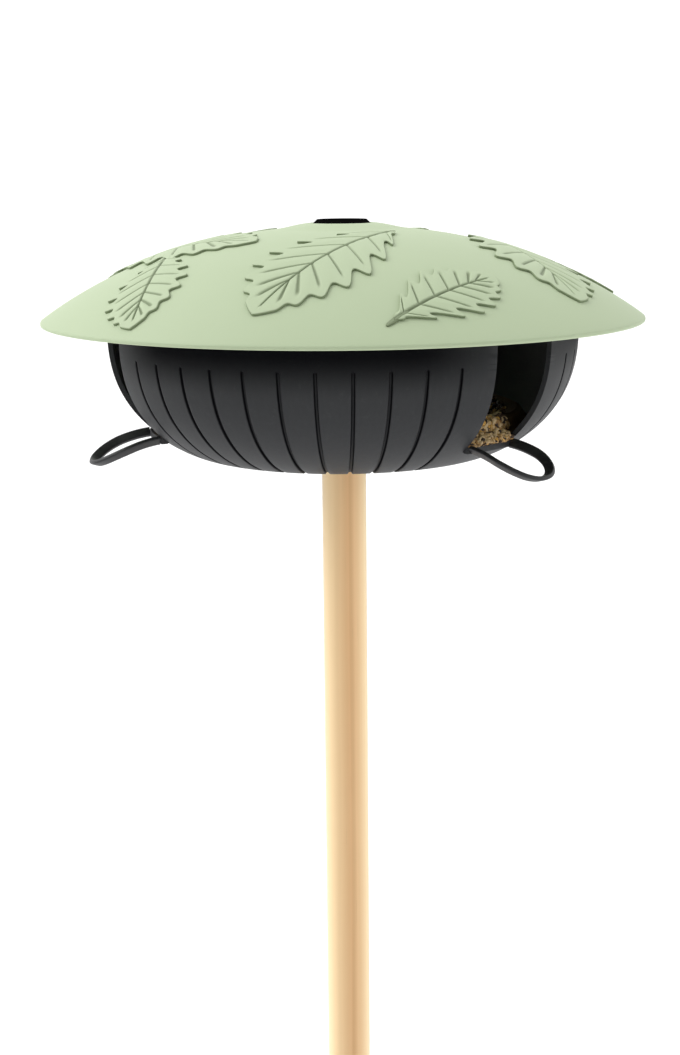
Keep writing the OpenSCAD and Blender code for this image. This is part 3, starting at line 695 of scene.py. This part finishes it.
def leaf_half(length, half, slant, depth):
    """One half of a leaf, as distances t from the tip and s from the midrib, height and painted shade.

    Each column is a slanting line at lobe number p: it leaves the midrib at u * length + lean and
    runs back towards the tip, to the full share of its length on a lobe and to less in a notch.
    The midrib and the veins, on whole lobe numbers, are pressed in, and the edge falls steeply.
    """
    p = leaf_columns()
    u = lobe_at(p)
    notch = np.where(p > 0, 0.5 - 0.5 * np.cos(2 * np.pi * p), 0)
    share = 1 - notch * (0.06 + depth * u)
    lean = slant * np.clip((LEAF_END - u) / 0.3, 0, 1)
    reach = half * np.sin(np.pi * np.minimum(u / LEAF_END, 1) ** 0.8)
    full = np.maximum(np.hypot(lean, reach), 1e-6)
    line = full * share
    inset, level, shade = np.array(LEAF_EDGE).T[:, :, None]
    small = np.minimum(line / 3, 1)
    ways = np.array(LEAF_WAYS)[:, None]
    along = np.concatenate([ways * (line - inset[0] * small), line - inset * small])
    t = u * length + lean * (1 - along / full)
    s = reach * along / full
    level = np.concatenate([np.ones((len(ways), 1)), level])
    shade = np.concatenate([np.zeros((len(ways), 1)), shade])
    way = along / np.maximum(line, 1e-6)
    pressed = leaf_pressed(p, t, s, way, reach / full, length)
    # The leaf swells between two veins
    puff = 0.3 * np.where(p > 0, np.sin(np.pi * p) ** 2, 0) * np.sin(np.pi * way)
    on_top = level > 0.95
    height = (LEAF_H + puff.clip(0)) * level - 1.05 * pressed * on_top
    # Painted shade on the edge's wall and in the pressed midrib and veins
    dark = np.maximum(shade, 0.7 * pressed * on_top)
    # The underside goes back to the midrib
    t = np.concatenate([t, [u * length + lean]])
    s = np.concatenate([s, [0 * u]])
    height = np.concatenate([height, [0 * u + height[-1].min()]])
    dark = np.concatenate([dark, [0 * u]])
    return t, s, height, dark


def stem_tongue(length, stem):
    """The stem: a low flattened tube that tapers at both ends, with painted shade that is deepest on
    its sides.
    """
    way = np.linspace(0, 1, 14)[:, None]
    a = all_round(12)
    taper = np.sin(np.pi * way) ** 0.35
    t = length * 0.9 + (length * 0.1 + stem) * way + 0 * a
    s = 1.8 * taper * np.cos(a)
    height = 0.4 + 0.8 * taper * np.sin(a)
    return t, s, height, 0.55 + 0.25 * np.abs(np.cos(a)) + 0 * way


def on_roof(tip, direction, t, s, height):
    """Points at t along a leaf and s across it, raised from the dome by height."""
    plan = turned_by(np.stack([t, s, height], -1), direction) + [*tip, 0]
    plan = turned_by(plan, CAMERA_AZIMUTH)
    x, y = plan[..., 0], plan[..., 1]
    base = np.stack([x, y, dome_z(np.hypot(x, y))], -1)
    return base + dome_normal(x, y) * height[..., None]


def build_leaf(name, tip, direction, length, half, slant, depth, stem):
    """A raised leaf: two halves that mirror each other in the midrib, and the stem."""
    parts = Parts()
    t, s, height, dark = leaf_half(length, half, slant, depth)
    for side in (1, -1):
        points = on_roof(tip, direction, t, side * s, height)
        parts.grid(points, dark, closed=False, flip=side < 0)
    t, s, height, dark = stem_tongue(length, stem)
    parts.grid(on_roof(tip, direction, t, s, height), dark)
    parts.build(name, "roof", ROOF_SKIN)


# Bowl

# Columns round the bowl's floor, shared by its rings and by the sectors of its holes
FLOOR_COLUMNS = 144
# Radii of the floor's bands that hold the drain holes and the screws
DRAIN_BAND = (72.0, 82.0)
SCREW_BAND = (23.0, 39.0)


def from_panel_middle(theta):
    """Degrees from a direction to the middle of its panel, up to half a panel either way."""
    return (theta - REAR) % PANEL - PANEL / 2


def from_opening(theta):
    """Degrees from a direction to the middle of the nearest opening."""
    return PANEL / 2 - np.abs(from_panel_middle(theta))


def bowl_columns():
    """Angles of the bowl's columns in degrees: close together at each groove and at the jambs."""
    near = np.array([0.18, 0.28, 0.37, 0.46, 0.60, 1.0])
    beside = np.array([12.6, 15.4])
    local = [-OPENING_HALF, -4.8, 0.0, 4.8, OPENING_HALF, *beside, *(PANEL - beside)]
    for i in range(GROOVE_COUNT):
        g = PANEL / 2 + (i - (GROOVE_COUNT - 1) / 2) * GROOVE_PITCH
        local += [g, *(g - near), *(g + near)]
        local += [g + 2.7, g + 5.4] if i < GROOVE_COUNT - 1 else []
    local = np.unique(np.round(local, 3))
    return np.concatenate([REAR + PANEL * k + local for k in range(len(PERCHES))])


def bowl_rows():
    """Angles down the bowl's side, close together where the grooves begin."""
    drops = np.concatenate([np.linspace(0.6, 14, 6), np.linspace(15, 19.5, 9),
                            np.linspace(21, SILL_DROP, 26)])
    return np.concatenate([side_angle(drops), np.linspace(SILL_DEG + 1.5, 89.2, 22)])


def square_border(count):
    """Points round the border of a square, count to a side, and their directions."""
    side = np.linspace(-1, 1, count + 1)[:-1]
    one = np.ones(count)
    u = np.concatenate([one, -side, -one, side])
    v = np.concatenate([side, one, -side, -one])
    return u, v, np.arctan2(v, u)


def add_row(parts, grid, count):
    """Repeats a grid round the axis, each time in the middle of one of count sectors."""
    for k in range(count):
        parts.grid(turned_by(grid, 360 / count * (k + 0.5)))


def hole_band(parts, z, band, count, circle_r, hole_r):
    """A flat ring between two radii with a row of round holes; each hole has a sector of its own,
    filled by lines from the hole's edge out to the sector's border."""
    u, v, a = square_border(FLOOR_COLUMNS // count)
    r = (band[0] + band[1]) / 2 + u * (band[1] - band[0]) / 2
    outer = round_axis(r, z, np.radians(v * 180 / count))
    inner = round_axis(hole_r, z, a) + [circle_r, 0, 0]
    w = np.linspace(0, 1, 5)[:, None, None] ** 1.5
    add_row(parts, inner * (1 - w) + outer * w, count)


def hole_walls(parts, count, circle_r, rings):
    """The walls of a row of round holes, through the given rings of radius and height."""
    a = square_border(FLOOR_COLUMNS // count)[2]
    add_row(parts, spun(rings, a) + [circle_r, 0, 0], count)


def turn_of(points):
    """The direction of points round the axis, from 0 to a full turn in radians."""
    return np.arctan2(points[:, 1], points[:, 0]) % (2 * math.pi)


def zip_rings(parts, first, second):
    """Triangles between two rings of points that have different counts, by order of direction."""
    rings = [ring[np.argsort(turn_of(ring))] for ring in (first, second)]
    turns = [turn_of(ring) for ring in rings]
    middles = [(turn + np.append(turn[1:], turn[0] + 2 * math.pi)) / 2 for turn in turns]
    n, m = len(first), len(second)
    i, j = np.arange(n), np.arange(m)
    to_second = np.searchsorted(middles[1], middles[0]) % m + n
    to_first = np.searchsorted(middles[0], middles[1], side="right") % n
    faces = [np.stack([i, (i + 1) % n, to_second], -1),
             np.stack([(j + 1) % m + n, j + n, to_first], -1)]
    parts.add(np.concatenate(rings), np.concatenate(faces))


def ring_rows(r, soft):
    """Rows of the ring above the bowl's side, from its soft top edge down, at radius r."""
    top = RIM_Z + RING_H
    return np.array([[r - soft, top], [r - soft / 4, top - 0.15], [r, top - 0.6],
                     [r, RIM_Z + 10.0], [r, RIM_Z + OPENING_RISE]])


def groove_depth(rows, theta):
    """How deep the grooves are at each point, from 0 to 1: by the distance to the nearest groove's
    line, with a round top end and a soft end under the bowl."""
    middle = from_panel_middle(theta)
    last = (GROOVE_COUNT - 1) // 2
    nearest = np.clip(np.round(middle / GROOVE_PITCH), -last, last) * GROOVE_PITCH
    across = rows[:, :1] * np.sin(np.radians(middle - nearest))[None]
    end = np.maximum(GROOVE_DROP + GROOVE_W / 2 - (RIM_Z - rows[:, 1]), 0)[:, None]
    away = np.hypot(across, end)
    fade = smoothstep(rows[:, 0], GROOVE_END_R + 1.5, GROOVE_END_R + 5)[:, None]
    return (1 - smoothstep(away, 0.5, GROOVE_W / 2 + 0.15)) * fade


def roof_shadow_paint(z, theta):
    """The painted shadow of the roof on the band under it, from 0 to 1: less over the openings than
    between them.
    """
    band = smoothstep(z, RIM_Z - 32, RIM_Z - 6) ** 0.8
    return band * (0.35 + 0.58 * smoothstep(from_opening(theta), 8, 30))


def opening_edges(parts, skin_out, skin_in, theta):
    """The edges of the wall at each opening: two jambs, the sill's edge and the head."""
    pair = np.stack([skin_out, skin_in])
    for _, opening in PERCHES:
        near = theta[np.abs((theta - opening + 180) % 360 - 180) < OPENING_HALF + 0.01]
        arc = np.radians(near)
        for jamb in (arc[0], arc[-1]):
            parts.grid(round_axis(pair[..., 0], pair[..., 1], jamb), closed=False)
        for row in (0, -1):
            parts.grid(spun(pair[:, row], arc), closed=False)


def bowl_floor(parts):
    """The floor below and above: rings with drain holes and screw holes, and the holes' walls."""
    for z, screw_r in ((BASE_Z, SCREW_SINK_R), (FLOOR_Z, SCREW_HOLE_R)):
        hole_band(parts, z, DRAIN_BAND, DRAIN_COUNT, DRAIN_CIRCLE_R, DRAIN_R)
        hole_band(parts, z, SCREW_BAND, SCREW_COUNT, SCREW_CIRCLE_R, screw_r)
        for r0, r1 in ((POLE_HOLE_R, SCREW_BAND[0]), (SCREW_BAND[1], DRAIN_BAND[0])):
            parts.grid(spun([[r0, z], [r1, z]], all_round(FLOOR_COLUMNS)))
    hole_walls(parts, DRAIN_COUNT, DRAIN_CIRCLE_R, [[DRAIN_R, BASE_Z], [DRAIN_R, FLOOR_Z]])
    screw_wall = [[SCREW_SINK_R, BASE_Z], [SCREW_HOLE_R, BASE_Z + SCREW_SINK_H],
                  [SCREW_HOLE_R, FLOOR_Z]]
    hole_walls(parts, SCREW_COUNT, SCREW_CIRCLE_R, screw_wall)
    pole_wall = [[POLE_HOLE_R, BASE_Z], [POLE_HOLE_R, FLOOR_Z]]
    parts.grid(spun(pole_wall, all_round(FLOOR_COLUMNS)))


def outer_skin(rows, theta, level_count, under_count):
    """The outer skin with the grooves pressed in against its normal, which is taken as level on the
    first rows and as straight down on the last ones, and its painted shade: on a groove's walls, less
    so on its bed, and the roof's painted shadow under the roof."""
    pressed = groove_depth(rows, theta)
    d = np.gradient(rows, axis=0)
    out = unit(np.stack([-d[:, 1], d[:, 0]], -1))
    out[:level_count] = [1, 0]
    out[-under_count:] = [0, -1]
    point = rows[:, None] - GROOVE_DEPTH * pressed[..., None] * out[:, None]
    # Painted shade on the grooves: deepest on their walls, less on their beds
    groove_wall_shade = 0.95 * (4 * pressed * (1 - pressed)) ** 0.6 + 0.4 * pressed**4
    # Painted shade in the grooves, with the roof's painted shadow on the band under it
    shade = np.maximum(groove_wall_shade, roof_shadow_paint(rows[:, 1:], theta))
    return round_axis(point[..., 0], point[..., 1], np.radians(theta)), shade


def faces_kept(row_count, first, last, theta):
    """Marks a skin's faces, all but those between the jambs from row first to row last."""
    inside = from_opening(theta) < OPENING_HALF + 0.01
    row = np.arange(row_count - 1)[:, None]
    return ~((row >= first) & (row < last) & inside & np.roll(inside, -1))


def build_bowl():
    """The bowl's two skins, what joins them at the top edge and the openings, and the floor."""
    theta = bowl_columns()
    angles = bowl_rows()
    ring = ring_rows(BOWL_R, soft=0.6)
    first, last = len(ring) - 1, len(ring) + int(np.argmin(np.abs(angles - SILL_DEG)))
    under = [[BASE_R - d, BASE_Z] for d in (1.2, 3.0, 4.8, 6.1)]
    rows = np.concatenate([ring, side_point(angles), under])
    outer, shade = outer_skin(rows, theta, len(ring), len(under))
    # The inner skin has the same columns, and the same rows down to the sill
    low = angles[angles < side_angle(BOWL_DEPTH - 1.0)]
    floor_rows = [[r, FLOOR_Z] for r in (BASE_R + 0.5, BASE_R - WALL, DRAIN_BAND[1] + 0.1)]
    inner_ring = ring_rows(BOWL_R - WALL, soft=-0.6)
    inner_rows = np.concatenate([inner_ring, side_skin(low, -WALL), floor_rows])
    inner = spun(inner_rows, np.radians(theta))
    parts = Parts()
    for skin, dark in ((outer, shade), (inner, 0.0)):
        parts.grid(skin, dark, keep=faces_kept(len(skin), first, last, theta))
    parts.grid(np.stack([outer[0], inner[0]]))
    used = slice(first, last + 1)
    opening_edges(parts, rows[used], inner_rows[used], theta)
    bowl_floor(parts)
    for skin, z in ((outer, BASE_Z), (inner, FLOOR_Z)):
        zip_rings(parts, skin[-1], round_axis(DRAIN_BAND[1], z, all_round(FLOOR_COLUMNS)))
    bowl = parts.build("bowl_shell", "stand", BOWL_SKIN, sharp=38)
    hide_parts("bowl")


# Perches


def perch_line(t):
    """The loop's middle line as radial, sideways and upward millimetres for t from -1 to 1, and
    how far out it is: an end on a power of the sine and cosine, then straight legs."""
    end_share = 0.6
    length = PERCH_REACH + STRIP_T / 2
    straight = length - PERCH_END
    at_end = np.abs(t) <= end_share
    q = np.clip(np.abs(t) / end_share, 0, 1) * math.pi / 2
    s = np.where(at_end, straight + PERCH_END * np.clip(np.cos(q), 0, 1) ** 1.2,
                 straight * (1 - np.abs(t)) / (1 - end_share))
    side = PERCH_HALF * np.sign(t) * np.where(at_end, np.sin(q) ** 0.9, 1.0)
    z = SILL_Z + PERCH_ROOT_H - PERCH_SLOPE * s - PERCH_ARCH * s * s / 1000
    line = np.stack([SILL_FRONT_R - STRIP_T / 2 + s, side * (1 + PERCH_FLARE * s / length), z], -1)
    return line, s


def perch_strip(parts):
    """The bent strip: a rounded oblong section, leaning outwards, carried along the loop."""
    fine = np.linspace(-1, 1, 4001)
    steps = np.linalg.norm(np.diff(perch_line(fine)[0], axis=0), axis=1)
    length = np.concatenate([[0], np.cumsum(steps)])
    # Stations at even distances along the loop
    line, run = perch_line(np.interp(np.linspace(0, length[-1], 132), length, fine))
    along = unit(np.gradient(line, axis=0))
    fall = np.arctan(PERCH_SLOPE + 2 * PERCH_ARCH * run / 1000)
    up = np.stack([np.sin(fall), 0 * fall, np.cos(fall)], -1)
    out = unit(np.cross(along, up))
    q = all_round(28)
    roundness = 0.42
    thick = np.sign(np.cos(q)) * np.abs(np.cos(q)) ** roundness * STRIP_T / 2
    wide = np.sign(np.sin(q)) * np.abs(np.sin(q)) ** roundness * STRIP_W / 2
    lean = math.radians(STRIP_LEAN)
    by_out = (thick * math.cos(lean) + wide * math.sin(lean))[None, :, None]
    by_up = (wide * math.cos(lean) - thick * math.sin(lean))[None, :, None]
    rings = line[:, None] + by_out * out[:, None] + by_up * up[:, None]
    parts.grid(rings)
    add_end_caps(parts, rings)


def perch_sill(parts):
    """The sill bar: its section goes along the opening, over the wall's edge and down inside."""
    back = side_skin(side_angle(SILL_DROP + SILL_HOOK), -WALL - PERCH_CLEAR)
    inner_r = side_skin(SILL_DEG, -WALL - PERCH_CLEAR)[0]
    top = SILL_Z + SILL_T
    wall_r = side_skin(SILL_DEG, PERCH_CLEAR)[0]
    section = rounded([
        [back[0] - FLANGE_T, top], [SILL_FRONT_R, top], [SILL_FRONT_R, SILL_Z - SILL_LIP],
        [wall_r + 0.4, SILL_Z - SILL_LIP], [wall_r + 0.4, SILL_Z], [inner_r, SILL_Z], back,
        [back[0] - FLANGE_T, back[1]]], 0.55)
    half = OPENING_HALF - math.degrees(PERCH_CLEAR / SILL_FRONT_R)
    arc = np.radians(np.linspace(-half, half, 17))
    bar = round_axis(section[None, :, 0], section[None, :, 1], arc[:, None])
    parts.grid(bar)
    add_end_caps(parts, bar)


def build_perch(name, direction):
    """A loop perch moulded with its sill bar, turned to its opening."""
    parts = Parts()
    perch_strip(parts)
    perch_sill(parts)
    parts.verts = [turned_by(verts, direction) for verts in parts.verts]
    perch = parts.build(name + "_strip", "stand", PERCH_SKIN, sharp=40)
    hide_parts(name)


# Seed

# Radii between which kernels lie all over the heap
HEAP_RADII = (44.0, SEED_EDGE_R - 14)
# Kernels near the openings: inner radius, width and half angle of the band that they lie in
NEAR_R = SEED_EDGE_R - 24
NEAR_WIDTH = 23.4
NEAR_HALF = 14
# Kernels on the sills: their share of those near the openings, half the angle that they take, each
# sill's share of them, and how far they stay behind its front face, in the order of PERCHES
ON_SILLS = 0.4
SILL_HALF = 8.6
SILL_SHARES = (0.2, 0.25, 0.55)
SILL_MARGINS = (3.5, 4.5, 0.4)


def heap_z(r):
    """Height of the heap's top: a crest just inside the wall, falling in to the cone."""
    inner_z = SILL_Z + SEED_INNER_H
    crest_z = SILL_Z + SEED_FRONT_H
    rise = (CONE_TOP_Z - inner_z) / (CONE_H - CONE_T / 2)
    cone_r = CONE_TOP_R + (CONE_R - CONE_TOP_R) * rise
    # From the cone, at share 1, to the wall, at share 0, and on over the sill
    share = np.array([1.0, 0.35, 0.14, 0.09, 0.05, 0.01, 0.0])
    height = np.array([inner_z, inner_z + 0.2 * (crest_z - inner_z), crest_z - 1.45, crest_z,
                       crest_z - 1.45, SILL_Z + 0.6 * SEED_FRONT_H, SILL_Z + SILL_T + 0.8])
    rs = np.concatenate([SEED_EDGE_R - share * (SEED_EDGE_R - cone_r), [SEED_EDGE_R + 3.5]])
    return np.interp(r, rs, np.concatenate([height, [SILL_Z + SILL_T + 0.4]]))


def kernel_shape(columns, rows, size, taper, flat):
    """A seed: a ball stretched to size, pinched towards one end and flattened."""
    u = np.linspace(0, math.pi, rows + 2)[1:-1]
    v = all_round(columns)
    x = np.cos(u)[:, None] + 0 * v
    w = np.sin(u)[:, None] * (1 - taper * np.cos(u)[:, None])
    ring = np.stack([x, w * np.cos(v), w * np.sin(v) * flat], -1).reshape(-1, 3)
    verts = np.concatenate([ring, [[1.0, 0, 0], [-1.0, 0, 0]]]) * np.array(size) / 2
    quads = grid_faces(rows, columns, close_columns=True, flip=True)
    j = np.arange(columns)
    n = rows * columns
    first = np.stack([np.full(columns, n), j, (j + 1) % columns], -1)
    last = np.stack([np.full(columns, n + 1), n - columns + (j + 1) % columns, n - columns + j], -1)
    return verts, quads, np.concatenate([first, last])


def kernel_places(rng, count, lift, outer):
    """Radius, height and direction of each kernel on the heap: a share of them, outer, lies near
    the openings, some of these in a pile on a sill, and the rest is even in area."""
    at_opening = rng.random(count) < outer
    inner = np.sqrt(rng.uniform(HEAP_RADII[0] ** 2, HEAP_RADII[1] ** 2, count))
    r = np.where(at_opening, NEAR_R + NEAR_WIDTH * rng.random(count) ** 0.8, inner)
    openings = np.array([direction for _, direction in PERCHES])
    near = rng.choice(openings, count) + rng.uniform(-NEAR_HALF, NEAR_HALF, count)
    theta = np.where(at_opening, near, rng.uniform(0, 360, count))
    on_sill = at_opening & (rng.random(count) < ON_SILLS)
    which = rng.choice(len(openings), count, p=SILL_SHARES)
    sill_r = rng.uniform(SEED_EDGE_R - 1, SILL_FRONT_R - np.array(SILL_MARGINS)[which])
    r = np.where(on_sill, sill_r, r)
    sill_at = openings[which] + rng.uniform(-SILL_HALF, SILL_HALF, count)
    pile = on_sill * rng.uniform(0, 0.7, count) * (SILL_FRONT_R - r)
    z = heap_z(r) + lift + rng.uniform(-0.5, 1.1, count) + pile
    return r, z, np.radians(np.where(on_sill, sill_at, theta))


def kernel_axes(rng, r, a):
    """Three unit directions for each kernel: along it, across it and out of the heap, which is the
    heap's normal with a wobble."""
    slope = (heap_z(r + 0.8) - heap_z(r - 0.8)) / 1.6
    normal = np.stack([-slope * np.cos(a), -slope * np.sin(a), np.ones(len(r))], -1)
    out = unit(normal + rng.normal(0, 0.32, (len(r), 3)))
    spin = rng.normal(size=(len(r), 3))
    along = unit(spin - (spin * out).sum(1, keepdims=True) * out)
    return along, np.cross(out, along), out


def build_kernels(name, material, count, size, taper, flat, seed, lift, outer, columns=7, rows=4):
    """Kernels of one kind strewn over the heap, in one piece."""
    rng = np.random.default_rng(seed)
    r, z, a = kernel_places(rng, count, lift, outer)
    axes = kernel_axes(rng, r, a)
    verts, quads, caps = kernel_shape(columns, rows, size, taper, flat)
    local = verts[None] * rng.uniform(0.75, 1.12, (count, 1, 1))
    placed = sum(local[..., k:k + 1] * axis[:, None] for k, axis in enumerate(axes))
    placed += round_axis(r, z, a)[:, None]
    shift = (np.arange(count) * len(verts))[:, None, None]
    tone = np.repeat(rng.random(count), len(verts))
    faces = [(quads[None] + shift).reshape(-1, 4), (caps[None] + shift).reshape(-1, 3)]
    piece(name, placed.reshape(-1, 3), faces, "stand", material, {"tone": tone})


build_roof()
for name, leaf in LEAVES.items():
    build_leaf(name, *leaf)
build_bowl()
for name, direction in PERCHES:
    build_perch(name, direction)
# Look, count, size, taper, flatness, seed of the draws, lift and share near the openings
build_kernels("wheat_kernels", WHEAT_SKIN, 2400, (5.6, 2.8, 2.6), 0.1, 0.9, 11, 0.5, 0.85)
build_kernels("heart_kernels", HEART_SKIN, 1000, (6.4, 3.6, 2.4), 0.35, 1.0, 23, 0.9, 0.85)
build_kernels("maize_kernels", MAIZE_SKIN, 500, (4.4, 3.8, 3.0), 0.2, 0.8, 37, 0.8, 0.85, columns=5)
build_kernels("shell_kernels", SHELL_SKIN, 1500, (7.2, 3.6, 2.4), 0.3, 1.0, 53, 0.7, 0.35)


# Stage, light and camera


def build_floor():
    """A plain pale floor, 60 m wide, with a matte paint."""
    mesh = bpy.data.meshes.new("floor")
    size, z = 30, STAGE_Z
    corners = [(-size, -size, z), (size, -size, z), (size, size, z), (-size, size, z)]
    mesh.from_pydata(corners, [], [(0, 1, 2, 3)])
    paint = Shader("floor_paint")
    mesh.materials.append(paint.finish((0.95, 0.95, 0.95, 1), 0.9, specular=0.1))
    linked("floor", mesh)


def studio_world(front, back):
    """A white room that is dimmer in front of the feeder than behind it."""
    world = bpy.data.worlds.new("studio")
    world.use_nodes = True
    tree = world.node_tree
    place = tree.nodes.new("ShaderNodeTexCoord")
    dot = tree.nodes.new("ShaderNodeVectorMath")
    dot.operation = "DOT_PRODUCT"
    dot.inputs[1].default_value = seen(0.38, 0.92, 0.0)
    spread = tree.nodes.new("ShaderNodeMapRange")
    spread.interpolation_type = "SMOOTHSTEP"
    for key, value in (("From Min", -0.7), ("From Max", 0.5), ("To Min", front), ("To Max", back)):
        spread.inputs[key].default_value = value
    tree.links.new(place.outputs["Generated"], dot.inputs[0])
    tree.links.new(dot.outputs["Value"], spread.inputs["Value"])
    background = tree.nodes["Background"]
    background.inputs["Color"].default_value = (1, 1, 1, 1)
    tree.links.new(spread.outputs["Result"], background.inputs["Strength"])
    bpy.context.scene.world = world


def soft_sun(name, source, strength, softness):
    """A broad light from the direction of source, given as the camera sees it."""
    light = bpy.data.lights.new(name, "SUN")
    light.energy, light.angle = strength, math.radians(softness)
    linked(name, light).rotation_euler = (-seen(*source)).to_track_quat("-Z", "Y").to_euler()


def photo_camera():
    """The camera of the photo: 1.05 m away, a little above the roof, looking 12 degrees down."""
    long_side, focal = 1055.0, 1686.4
    pitch, roll, side, distance, height = 0.2125, -0.0098, -2.93, 1050.0, 93.97
    data = bpy.data.cameras.new("camera")
    camera = linked("camera", data)
    bpy.context.scene.camera = camera
    right, away = camera_axes()
    look = away * math.cos(pitch) + Vector((0, 0, -math.sin(pitch)))
    up = right.cross(look)
    c, s = math.cos(roll), math.sin(roll)
    turned_right, turned_up = right * c + up * s, up * c - right * s
    camera.matrix_world = Matrix((turned_right, turned_up, -look)).transposed().to_4x4()
    place = right * side - away * distance + Vector((0, 0, RIM_Z + height))
    camera.location = place * 0.001
    data.sensor_width = 36.0
    data.lens = focal * 36.0 / long_side
    data.clip_start, data.clip_end = 0.05, 100.0


build_floor()
studio_world(front=0.28, back=1.2)
soft_sun("key", source=(-0.7, 0.1, 0.7), strength=2.3, softness=50)
soft_sun("fill", source=(0.75, -0.65, 0.1), strength=0.4, softness=60)
photo_camera()
bpy.context.scene.view_settings.view_transform = "Standard"
